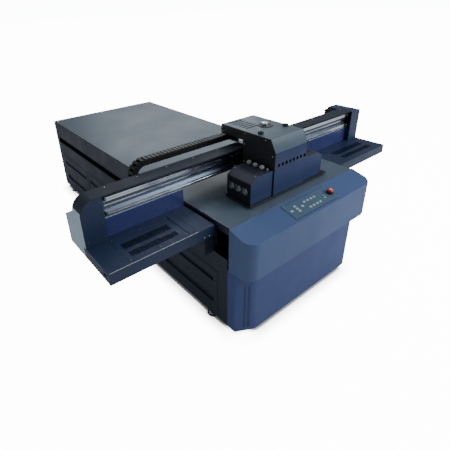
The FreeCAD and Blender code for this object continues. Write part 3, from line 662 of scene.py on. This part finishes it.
def push_buttons():
    """The emergency stop's collar and mushroom, with a pale disc on the mushroom's crown as a painted
    highlight, and the start key's cap.
    """
    collar = Piece("estop_collar_ring", BLACK_PLASTIC)
    collar.take(lathe(ring(11.5, 26, 5, 1.5), (*STOP_BUTTON, PLATE_TOP), steps=40), BLACK_PLASTIC, ON_SLOPE)
    collar.ride("cabinet", "collar_plastic", "estop_collar")

    start = Piece("start_button_cap", GREEN)
    cap = [(0, -14), (9.8, -14), (9.9, 7.5), (9.2, 9.0), (7.6, 9.7), (4, 9.95), (0, 10)]
    start.take(lathe(cap, (*START_KEY, 0), steps=36), GREEN, ON_SLOPE)
    start.ride("start_key", "green_plastic", "start_button")

    stop = Piece("estop_button_cap", RED, KEY_WHITE)
    mushroom = [(0, 16), (7.4, 11.6), (15, 11.6), (15.8, 13), (16.4, 19), (20, 21.4), (22.6, 24), (23, 27),
                (22, 30), (18.5, 32.4), (11, 33.7), (0, 34)]
    stop.take(lathe(mushroom, (*STOP_BUTTON, 0), steps=44), RED, ON_SLOPE)
    # A pale disc on the mushroom's crown: a painted highlight.
    stop.take(lathe(drum(10, 1.2, 0.5), (*STOP_BUTTON, 32.75), steps=36), KEY_WHITE, ON_SLOPE)
    for k in range(3):
        circle = around(40, 14, STOP_BUTTON, k * 2 * math.pi / 3)
        arc = [(x, y, 33.0) for x, y in circle[:7]]
        stop.take(hose(arc, 0.75, 8, 3), KEY_WHITE, ON_SLOPE)
    stop.ride("estop_cap", "red_plastic", "estop_button")
    repaint(BLACK_PLASTIC, "estop_plunger")


def cladding_details():
    """Black strips on the floors of the chamfers' grooves, painted shade that makes the grooves read deeper,
    and the seam strip.
    """
    low, high = span("front_cladding")
    front = Piece("front_seam_and_groove_shade", BLACK_PLASTIC)
    chamfer_width, chamfer_depth = 124, 67
    slant = math.atan2(chamfer_depth, chamfer_width)
    for side in (-1, 1):
        for along in (0.42, 0.62):
            x = high.x - along * chamfer_width + 1.6
            y = low.y + (1 - along) * chamfer_depth + 3.1
            turn = Matrix.Translation((side * x, y, 0)) @ Matrix.Rotation(side * slant, 4, "Z")
            # Painted shade: a black strip on the floor of each groove.
            front.take(rounded_box((-6.2, -0.4, -772), (6.2, 0.6, -416), 0.3), turn=turn)
    seam_half = high.x - chamfer_width
    front.take(rounded_box((-seam_half, low.y + 1.4, high.z - 5.5), (seam_half, low.y + 4, high.z - 0.5)))
    front.ride("cabinet", "black_plastic")


# ---------------- gantry


RAIL_LEVELS = [middle_of(f"x_rail_{name}").z for name in ("lower", "upper")]
RAIL_FRONT, RAIL_BACK = [corner.y for corner in span("x_rail_lower")]


def gantry_shells():
    # The beam cover's left face gets the pale coat: painted light on a lit side.
    refined("beam_cover", "gantry", "navy_paint", BEAM_COAT,
            faces=lambda face: 1 if face.normal.x < -0.97 else 0, paints=(PAINTED_LIGHT_COAT,))
    refined("left_end_cover", "gantry", "navy_paint", NAVY_TRAY, 1.0)
    refined("right_end_cover", "gantry", "navy_paint", TOWER_COAT, 1.3)
    # The pedestals' ends and tops get the pale coat: painted light on the faces that catch it.
    refined("pedestals", "gantry", "gloss_navy", NAVY_GLOSS, 1.8,
            faces=lambda face: 1 if abs(face.normal.x) > 0.9 or upward(face) else 0, paints=(PAINTED_LIGHT_COAT,))
    for side in ("left", "right"):
        refined(f"{side}_tray", "gantry", "navy_paint", NAVY_TRAY, 1.3)
        repaint(NAVY_TRAY, f"{side}_grille")
    refined("bridge_plates", "gantry", "navy_paint", NAVY_TRAY, 1.3)
    refined("gantry_legs", "gantry", "navy_paint", NAVY_DARK, 2.5)
    refined("chain_trough", "gantry", "black_paint", BLACK_COAT, 0.8)
    repaint(BEAM_METAL, "gantry_beam")
    # The Y bearing blocks run inside the cabinet: their black is painted shade. The X motor is black.
    repaint(BLACK_COAT, "y_bearing_blocks", "x_motor")
    repaint(BELT, "x_belt")
    repaint(ALUMINIUM, "x_idler_pulley", "x_drive_pulley")


def rails():
    """Ground guide rails: two ball grooves in each, and a row of counterbored bolts."""
    bolts, bolt_margin = 20, 60
    for level in ("upper", "lower"):
        low, high = span(f"x_rail_{level}")
        middle = (low.z + high.z) / 2
        half, depth, groove = (high.z - low.z) / 2, high.y - low.y, 1.6
        section = [(0, -half), (depth, -half), (depth, half), (0, half), (0, half * 0.75), (0, half * 0.3),
                   (groove, half * 0.15), (groove, -half * 0.15), (0, -half * 0.3)]
        part = bmesh.new()
        left, right = [[part.verts.new((x, low.y + y, middle + z)) for y, z in section]
                       for x in (low.x, high.x)]
        for n in range(len(section)):
            m = (n + 1) % len(section)
            part.faces.new((left[n], left[m], right[m], right[n]))
        part.faces.new(left)
        part.faces.new(right[::-1])
        rail = Piece(f"x_rail_{level}_ground", CHROME, BLACK_PLASTIC)
        rail.take(part, CHROME)
        pitch = (high.x - low.x - 2 * bolt_margin) / (bolts - 1)
        for n in range(bolts):
            seat = (low.x + bolt_margin + n * pitch, low.y + groove + 0.15, middle)
            rail.take(lathe(ring(2.2, 4.4, 0.7, 0.2), seat, (0, -1, 0), 14), BLACK_PLASTIC)
        rail.ride("gantry", "rail_chrome", f"x_rail_{level}")


def beam_details():
    """The scale strips on the beam, the carriage's end stops, and the screws in the cover's lip."""
    _, cover_high = span("beam_cover")
    front = RAIL_BACK
    parts = Piece("beam_fittings", STEEL, RUBBER, ALUMINIUM, CHROME)
    reach = 1225
    parts.take(rounded_box((-reach, front - 1.2, 181), (reach, front + 0.2, 189), 0.4), CHROME)
    parts.take(rounded_box((-reach, front - 2.2, 208), (reach, front + 0.2, 220), 0.4), ALUMINIUM)
    stop_front = front - 24
    for x in (-1222, 1222):
        for z in RAIL_LEVELS:
            parts.take(rounded_box((x - 8, stop_front, z - 9), (x + 8, front - 1, z + 9), 3, 3), RUBBER)
            parts.take(screw((x, stop_front, z), (0, -1, 0)), STEEL)
    for n in range(12):
        x = -1190 + n * 2380 / 11
        parts.take(screw((x, 486, cover_high.z - 0.6), (0, 0, 1)), STEEL)
    parts.ride("gantry", "bare_aluminium")


def end_screws():
    """The screws of the end covers and of the pedestals' ends."""
    left_low, _ = span("left_end_cover")
    _, right_high = span("right_end_cover")
    _, pedestal_high = span("pedestals")
    sunk = 1.9
    ends = Piece("end_cover_screws", DARK_STEEL)
    for x, z in ((-1370, 20), (-1370, 130), (-1266, 20), (-1266, 110), (-1266, 240), (-1320, 262)):
        ends.take(screw((x, left_low.y + 0.4, z), (0, -1, 0)))
    for y, z in ((420, 20), (420, 140), (420, 245), (620, 140), (620, 245)):
        ends.take(screw((right_high.x - 0.4, y, z), (1, 0, 0)))
    for side in (-1, 1):
        for y, z in ((452, -70), (640, -70), (452, 90), (640, 90)):
            ends.take(screw((side * (pedestal_high.x - sunk), y, z), (side, 0, 0), 3.2))
    ends.ride("gantry", "steel")


def tray_pans():
    """The closed bottom of each tray."""
    pans = Piece("tray_bottom_pans", BLACK_COAT)
    for side in ("left", "right"):
        low, high = span(f"{side}_tray")
        left, right = low.x + 3.2, high.x - 3.2
        pans.take(rounded_box((left, low.y + 3.2, low.z + 1), (right, high.y, low.z + 3), 0.8))
    pans.ride("gantry", "black_paint")


def tray_details():
    """The trays' bright edges, grille lips and screws, and the left tray's strip and plug."""
    lips = Piece("tray_trim", BRIGHT, NAVY_TRAY, STEEL, BLACK_PLASTIC)
    for side in ("left", "right"):
        low, high = span(f"{side}_tray")
        left, right, top = low.x + 2, high.x - 2, high.z - 0.1
        lips.take(rounded_box((left, low.y + 0.3, top - 2.1), (right, low.y + 2.6, top), 0.8), BRIGHT)
        grille_low, grille_high = span(f"{side}_grille")
        left, right = grille_low.x + 6, grille_high.x - 6
        for y in (grille_low.y + 6, grille_high.y - 9):
            lips.take(rounded_box((left, y, -19.5), (right, y + 3, -16.4), 0.9), NAVY_TRAY)
        for x in (left + 10, (left + right) / 2, right - 10):
            for y in (grille_low.y + 18, grille_high.y - 18):
                lips.take(screw((x, y, high.z - 1.2), (0, 0, 1), 2.6), STEEL)
    low, _ = span("left_tray")
    for side in (-1, 1):
        for x in (side * 756, side * 718):
            lips.take(screw((x, low.y + 0.6, -76), (0, -1, 0), 4.5), BRIGHT)
    strip_left, strip_right, strip_front, strip_back = -852, -808, 134, 383
    bottom, top = -17, -15.2
    bars = [((x - 3, strip_front - 2), (x + 3, strip_back + 3)) for x in (strip_left, strip_right)]
    bars += [((strip_left - 3, y - 3), (strip_right + 3, y + 3)) for y in (strip_front, strip_back)]
    for near, far in bars:
        lips.take(rounded_box((*near, bottom), (*far, top), 0.8), BLACK_PLASTIC)
    lips.take(rounded_box((low.x, 150, -62), (low.x + 3.4, 186, -40), 1.4), BLACK_PLASTIC)
    lips.ride("gantry", "navy_paint")


# ---------------- cable chain

LINK_PITCH = 29.3
LINK_HEIGHT = 43
CHAIN_LOW, CHAIN_HIGH = span("chain_bend")
CHAIN_TOP = CHAIN_HIGH.z - LINK_HEIGHT / 2
CHAIN_BOTTOM = CHAIN_LOW.z + LINK_HEIGHT / 2
CHAIN_Y = (CHAIN_LOW.y + CHAIN_HIGH.y) / 2
BEND_X = CHAIN_HIGH.x
BEND_RADIUS = (CHAIN_TOP - CHAIN_BOTTOM) / 2


def chain_link(inset=0.0):
    """One link along X: side plates with their laps and pins, and two crossbars."""
    half_y = (CHAIN_HIGH.y - CHAIN_LOW.y) / 2 - inset
    half_z = LINK_HEIGHT / 2 - inset
    reach = LINK_PITCH / 2
    bar = 4
    parts = []
    for side in (-1, 1):
        plate = [(-reach + 1.2, side * half_y, -half_z + 2), (reach - 1.2, side * (half_y - 5), half_z - 2)]
        lap = [(-reach - 5, side * (half_y - 2), -half_z + 6), (-reach + 8, side * (half_y - 8), half_z - 6)]
        cross = [(-reach + 3, -half_y + 1, side * half_z), (reach - 4, half_y - 1, side * (half_z - bar))]
        parts += [rounded_box(*plate, 3), rounded_box(*lap, 3), rounded_box(*cross, 1.6)]
        parts.append(lathe(drum(6, 1.2, 0.4), (-reach + 6, side * (half_y - 1), 0), (0, side, 0), 14))
    link = bmesh.new()
    scratch = bpy.data.meshes.new("scratch")
    for part in parts:
        part.to_mesh(scratch)
        part.free()
        link.from_mesh(scratch)
    bpy.data.meshes.remove(scratch)
    return link


def straight_run(name, node, body, level):
    """Whole links in a straight row from the bend, taken off their body and baked where they lie."""
    reach = span(node)[1].x - BEND_X
    count = round(reach / LINK_PITCH)
    pitch = reach / count
    links = Piece(name, CHAIN_PLASTIC)
    for n in range(count):
        spot = Vector((BEND_X + (n + 0.5) * pitch, CHAIN_Y, level))
        stretch = Matrix.Diagonal((pitch / LINK_PITCH, 1, 1, 1))
        links.take(chain_link(), turn=Matrix.Translation(spot) @ stretch)
    run = links.ride(body, "black_plastic", node)
    run.parent = None
    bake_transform(run)


def chain():
    """The bend rides on its own body; the straight runs are taken off theirs, and on the machine they stretch
    as the carriage travels.
    """
    straight_run("chain_upper_links", "chain_upper_run", "chain_loop", CHAIN_TOP)

    bend = Piece("chain_bend_links", CHAIN_PLASTIC)
    count = round(math.pi * BEND_RADIUS / LINK_PITCH)
    for n in range(count):
        angle = math.pi * (n + 0.5) / count
        spot = Vector((BEND_X - BEND_RADIUS * math.sin(angle), CHAIN_Y,
                       (CHAIN_TOP + CHAIN_BOTTOM) / 2 + BEND_RADIUS * math.cos(angle)))
        bend.take(chain_link(0.6), turn=Matrix.Translation(spot) @ Matrix.Rotation(-angle, 4, "Y"))
    bend.ride("chain_loop", "black_plastic", "chain_bend")

    # The lower run's free end is midway between start and end, so it goes half as far as the slider.
    straight_run("chain_lower_links", "chain_lower_run", "gantry", CHAIN_BOTTOM)


# ---------------- carriage

LAMP_SIGNS = {"left": -1, "right": 1}


def carriage_shells():
    refined("carriage_hood", "head", "gloss_navy", HOOD_BLUE,
            faces=lambda face: 1 if face.normal.z > 0.4 else 0, paints=(GREY_COAT,))
    refined("hood_side_plates", "head", "black_paint", BLACK_COAT)
    refined("base_plate", "head", "bare_aluminium", BLACK_COAT, 1.5)

    def lamp_paint(face, sign):
        if face.normal.x * sign > 0.9:
            return 1
        return 2 if face.normal.z > 0.4 else 0

    for side, sign in LAMP_SIGNS.items():
        refined(f"{side}_lamp", "head", "gloss_navy", HOOD_BLUE, 1.4,
                faces=lambda face, sign=sign: lamp_paint(face, sign), paints=(BLACK_COAT, NAVY_DARK))
    repaint(ALUMINIUM, "print_heads", "slider_plate")
    repaint(INK_PLASTIC, "ink_tanks")
    repaint(BLACK_COAT, "lift_motor")


def bearing_blocks():
    """The carriage's bearing cars: steel saddles with a black seal at each end."""
    low, _ = span("x_bearing_blocks")
    cars = Piece("x_bearing_cars", STEEL, BLACK_PLASTIC)
    web_back, lip_back = RAIL_FRONT - 0.4, 440.5
    half, clear = 24, 11.4  # half is 5 mm more than the CAD blocks have
    for z in RAIL_LEVELS:
        for x in (low.x, low.x + 180):
            steel = (x + 8, x + 72)
            seals = ((x, x + 7.8), (x + 72.2, x + 80))
            cars.take(rounded_box((steel[0], low.y, z - half), (steel[1], web_back, z + half), 2), STEEL)
            for left, right in seals:
                seal = rounded_box((left, low.y + 3, z - 22), (right, web_back - 0.6, z + 22), 2)
                cars.take(seal, BLACK_PLASTIC)
            for side in (-1, 1):
                near, far = z + side * clear, z + side * half
                cars.take(rounded_box((steel[0], web_back, near), (steel[1], lip_back, far), 2), STEEL)
                for left, right in seals:
                    seal = rounded_box((left, low.y + 3, near), (right, lip_back - 0.5, far), 2)
                    cars.take(seal, BLACK_PLASTIC)
    cars.ride("slider", "steel", "x_bearing_blocks")


def rim(rows):
    """What lies round a grid's edge, in order."""
    return [row[0] for row in rows] + rows[-1][1:] + [row[-1] for row in rows[-2::-1]] + rows[0][-2:0:-1]


def fan_blade(part, turn):
    """A twisted, cambered blade, wider and flatter towards its tip."""
    half_thick = 0.35
    rows = []
    for step in range(5):
        radius = 8.5 + step * 3.6
        twist = math.radians(52 - step * 5)
        half = 4.2 + step * 0.55
        row = []
        for across in (-1, -0.5, 0, 0.5, 1):
            camber = 0.9 * (1 - across * across)
            x = across * half * math.cos(twist) - camber * math.sin(twist)
            y = across * half * math.sin(twist) + camber * math.cos(twist)
            row.append(turn @ Vector((x, y, math.sqrt(radius ** 2 - y ** 2))))
        rows.append(row)
    edges = []
    for offset in (Vector((half_thick, 0, 0)), Vector((-half_thick, 0, 0))):
        points = [[part.verts.new(spot + offset) for spot in row] for row in rows]
        for inner, outer in zip(points, points[1:]):
            for n in range(len(inner) - 1):
                part.faces.new((inner[n], inner[n + 1], outer[n + 1], outer[n]))
        edges.append(rim(points))
    front, back = edges
    for n in range(len(front)):
        m = (n + 1) % len(front)
        part.faces.new((front[n], front[m], back[m], back[n]))


def rotor(side, spot):
    """A lamp fan: a domed hub and seven blades. Gives back the fan's centre."""
    low, high = span(f"{side}_lamp_fan_{spot}")
    centre = middle_of(f"{side}_lamp_fan_{spot}")
    sign = LAMP_SIGNS[side]
    face = low.x if sign < 0 else high.x
    fan = Piece(f"{side}_fan_{spot}_rotor", FAN_PLASTIC)
    hub = [(0, -12.5), (9.6, -12.5), (10, -12), (10, -2), (9, -0.8), (6, -0.2), (0, 0)]
    fan.take(lathe(hub, (face, centre.y, centre.z), (sign, 0, 0), 32), FAN_PLASTIC)
    blades = bmesh.new()
    for k in range(7):
        fan_blade(blades, Matrix.Rotation(2 * math.pi * k / 7, 4, "X"))
    blades.transform(Matrix.Translation(centre))
    fan.take(blades, FAN_PLASTIC)
    fan.ride(f"{side}_fan_{spot}", "fan_plastic", f"{side}_lamp_fan_{spot}")
    return centre


def finger_guard(guards, sign, face, centre):
    """Three wire rings on four spokes, and the fan's corner screws."""
    middle = (centre.y, centre.z)
    for radius in (12, 19, 26.5):
        circle = around(24, radius, middle)
        loop = [(face - sign * 0.6, y, z) for y, z in circle + circle[:1]]
        guards.take(hose(loop, 0.75, 6, 1), STEEL)
    for spoke in zip(*(around(4, radius, middle, math.pi / 4) for radius in (10, 20, 29))):
        guards.take(hose([(face - sign * 0.7, y, z) for y, z in spoke], 0.8, 6, 1), STEEL)
    for y, z in around(4, 30, middle, math.pi / 4):
        guards.take(screw((face - sign * 0.4, y, z), (sign, 0, 0), 2.2), STEEL)


def water_fitting(guards, x, y, crown):
    """A ribbed hose fitting on a round flange."""
    body = [(0, 4), (10, 4), (10, 9), (15.5, 11), (16.5, 13), (16.5, 24), (15, 26), (11, 27), (11, 30),
            (8, 31), (0, 31)]
    guards.take(lathe(drum(13, 7), (x, y, crown - 1.5)), BLACK_PLASTIC)
    guards.take(lathe(body, (x, y, crown)), GREY_PLASTIC)
    ribs(guards, GREY_PLASTIC, 12, 16.2, (x, y), 1.2, crown + 14, crown + 23, 0.8)


def lamp_fittings():
    """Each lamp's fans and guards, and the brackets, fittings, nuts and vents on top."""
    for side, sign in LAMP_SIGNS.items():
        guards = Piece(f"{side}_lamp_fittings", BLACK_PLASTIC, BRIGHT, GREY_PLASTIC, STEEL)
        low, high = span(f"{side}_lamp")
        face, inner = (low.x, high.x) if sign < 0 else (high.x, low.x)
        crown = high.z
        for spot in ("front", "middle", "rear"):
            finger_guard(guards, sign, face, rotor(side, spot))
        bracket_x = inner + sign * 148
        for y in (low.y + 5, high.y - 26):
            near, far = bracket_x - sign * 20, bracket_x + sign * 3
            guards.take(rounded_box((near, y, crown - 2.5), (far, y + 20, crown - 0.05)), BRIGHT)
        for n in range(3):
            water_fitting(guards, inner + sign * 42, 150 + 58 * n, crown)
        for y in (116, 290):
            guards.take(hexagon(7, 12, (inner + sign * 24, y, crown - 1)), BRIGHT)
            guards.take(lathe(drum(3.5, 18), (inner + sign * 24, y, crown), steps=16), BRIGHT)
        for n in range(9):
            x = inner + sign * (72 + 7.5 * n)
            guards.take(rounded_box((x - 1.4, 130, crown - 1), (x + 1.4, 280, crown), 0.5), BLACK_PLASTIC)
        guards.ride("head", "black_paint")


def hood_fittings():
    """The knobs, the side plates' screws, a black plate under the crown's vents as painted shade, and the
    seam gaskets.
    """
    low, high = span("carriage_hood")
    crown = high.z
    spindle = middle_of("lift_screw").xy
    top = Piece("hood_fittings", BLACK_PLASTIC, STEEL, BRIGHT)
    top.take(lathe(ring(30, 55, 3, 1.2), (*spindle, crown - 0.6), steps=48), BLACK_PLASTIC)
    for x, y in around(6, 45, spindle, math.pi / 6):
        top.take(screw((x, y, crown + 2.2), (0, 0, 1), 3), STEEL)
    knob = [(0, -0.5), (13, -0.5), (13, 2), (17, 3), (19.5, 5), (20, 7), (20, 13), (18, 16), (12, 17.6),
            (0, 18)]
    for centre in ((-142, 252), (110, 252)):
        top.take(lathe(knob, (*centre, crown)), BLACK_PLASTIC)
        ribs(top, BLACK_PLASTIC, 16, 19.6, centre, 1.1, crown + 5, crown + 14, 0.7)
    plate_low, plate_high = span("hood_side_plates")
    plate_screws = ((100, 60), (100, 190), (104, 300), (170, 396), (360, 396), (590, 396), (590, 360),
                    (362, 60), (362, 190), (362, 320))
    for side, face in ((-1, plate_low.x), (1, plate_high.x)):
        for y, z in plate_screws:
            top.take(screw((face - side * 0.4, y, z), (side, 0, 0)), BRIGHT)
    # Painted shade: a black plate under the crown so its vents read dark.
    top.take(rounded_box((-150, 384, crown - 16), (60, 600, crown - 12), 1.5), BLACK_PLASTIC)
    for x in (low.x - 0.4, high.x - 1.4):
        top.take(rounded_box((x, low.y + 0.4, low.z + 6), (x + 1.8, low.y + 3, 320), 0.6), BLACK_PLASTIC)
    top.ride("head", "black_plastic")


def lift_spindle():
    """The lift screw's thread and its knurled knob."""
    _, hood_high = span("carriage_hood")
    low, _ = span("lift_screw")
    x, y = middle_of("lift_screw").xy + Vector((0, 10))  # 10 mm behind its CAD node
    crown = hood_high.z
    pitch, crest, root, thread_top = 10, 8, 6.6, 326
    thread = [(0, low.z)]
    for n in range(int((thread_top - low.z) / pitch)):
        base = low.z + n * pitch
        thread += [(crest, base + 0.5), (crest, base + 4), (root, base + 5.5), (root, base + 9)]
    thread += [(crest, thread_top + 4), (crest, crown + 2), (0, crown + 2)]
    knob = [(0, 2), (16, 2), (18, 3), (18, 7.5), (22, 8.5), (25, 10), (25, 19), (22.5, 21.6), (9, 22),
            (8, 20.5), (0, 20.5)]
    spindle = Piece("lift_spindle_turned", STEEL, BRIGHT)
    spindle.take(lathe(thread, (x, y, 0), steps=24), STEEL)
    spindle.take(lathe(knob, (x, y, crown), steps=48), BRIGHT)
    ribs(spindle, BRIGHT, 24, 24.4, (x, y), 0.55, crown + 11, crown + 18.5, 0.4)
    spindle.ride("lift_spindle", "steel", "lift_screw")


def ink_lines():
    """An ink tube from each tank up under the hood's crown."""
    low, high = span("ink_tanks")
    tank_pitch, neck_y = 39.5, 250
    tubes = Piece("ink_lines", BLACK_PLASTIC, GREY_PLASTIC)
    for n in range(6):
        x = low.x + 17 + tank_pitch * n
        tubes.take(hexagon(7, 8, (x, neck_y, high.z - 0.5)), GREY_PLASTIC)
        route = [(x, neck_y, high.z + 4), (x, neck_y + 2, high.z + 30), (x * 0.8, neck_y + 40, high.z + 60),
                 (x * 0.5 - 20, neck_y + 72, high.z + 80)]
        tubes.take(hose(route, 2.6, 10, 6), BLACK_PLASTIC)
    tubes.ride("head", "black_plastic")


# ---------------- stage

FLOOR_REACH = 60  # metres
FLOOR_GLOW = 14.0  # what the camera sees of the paper floor and the sky
SKY_LIGHT = 0.22  # what the sky sheds on the machine
SHADE_REACH = 0.12  # metres from the machine to where its shade on the floor ends


def area_light(name, position, target, size, power, colour):
    data = bpy.data.lights.new(name, "AREA")
    data.shape = "RECTANGLE"
    data.size, data.size_y = size
    data.energy = power
    data.color = colour
    light = bpy.data.objects.new(name, data)
    scene.collection.objects.link(light)
    light.location = position
    light.rotation_euler = (Vector(target) - Vector(position)).to_track_quat("-Z", "Y").to_euler()


def floor():
    """Paper that glows for the camera only, and less where the machine shades it."""
    paper = Paint("floor_paper", (0.80, 0.81, 0.82), 0.9)
    paper.vary_colour(0.5, 0.01)
    paper.shader.inputs["Emission Color"].default_value = (1, 1, 1, 1)
    seen = paper.node("LightPath").outputs["Is Camera Ray"]
    shade = paper.node("AmbientOcclusion")
    shade.inputs["Distance"].default_value = SHADE_REACH
    glow = paper.node("Math")
    glow.operation = "MULTIPLY"
    paper.link(paper.ranged(seen, 0, FLOOR_GLOW, 0, 1), glow.inputs[0])
    paper.link(paper.ranged(shade.outputs["AO"], 0.004, 1, 0.5, 0.97), glow.inputs[1])
    paper.link(glow.outputs["Value"], paper.shader.inputs["Emission Strength"])
    mesh = bpy.data.meshes.new("floor")
    r = FLOOR_REACH
    mesh.from_pydata([(-r, -r, 0), (r, -r, 0), (r, r, 0), (-r, r, 0)], [], [(0, 1, 2, 3)])
    mesh.materials.append(paper.material)
    sheet = bpy.data.objects.new("floor", mesh)
    scene.collection.objects.link(sheet)


def studio():
    """A dim sky that the camera sees as white, and four soft lights."""
    world = bpy.data.worlds.new("studio")
    world.use_nodes = True
    scene.world = world
    tree = world.node_tree
    sky = tree.nodes["Background"]
    sky.inputs["Color"].default_value = (0.92, 0.95, 1.0, 1)
    seen = tree.nodes.new("ShaderNodeLightPath").outputs["Is Camera Ray"]
    glow = tree.nodes.new("ShaderNodeMapRange")
    glow.inputs["To Min"].default_value = SKY_LIGHT
    glow.inputs["To Max"].default_value = FLOOR_GLOW
    tree.links.new(seen, glow.inputs["Value"])
    tree.links.new(glow.outputs["Result"], sky.inputs["Strength"])
    area_light("key", (3.2, -5.0, 4.2), (0, -0.6, 0.7), (4, 3), 230, (0.95, 0.97, 1))
    area_light("top", (0.5, 1.0, 5.5), (0, 0, 0.8), (5, 6), 70, (0.92, 0.96, 1))
    area_light("side", (-7.0, 0.5, 2.2), (-1.2, 0, 0.6), (4, 2.5), 48, (0.90, 0.95, 1))
    area_light("sheen", (5.0, 7.0, 4.5), (0, 0, 0.9), (6, 3), 110, (0.9, 0.96, 1))


# ---------------- build

make_camera()
for make in (cabinet_shells, floor_pan, bed_highlight_and_gasket, side_hardware, slot_lips, levelling_feet, rear_details,
             control_plate, push_buttons, cladding_details, gantry_shells, rails, beam_details, end_screws,
             tray_pans, tray_details, chain, carriage_shells, bearing_blocks, lamp_fittings, hood_fittings,
             lift_spindle, ink_lines, floor, studio):
    make()
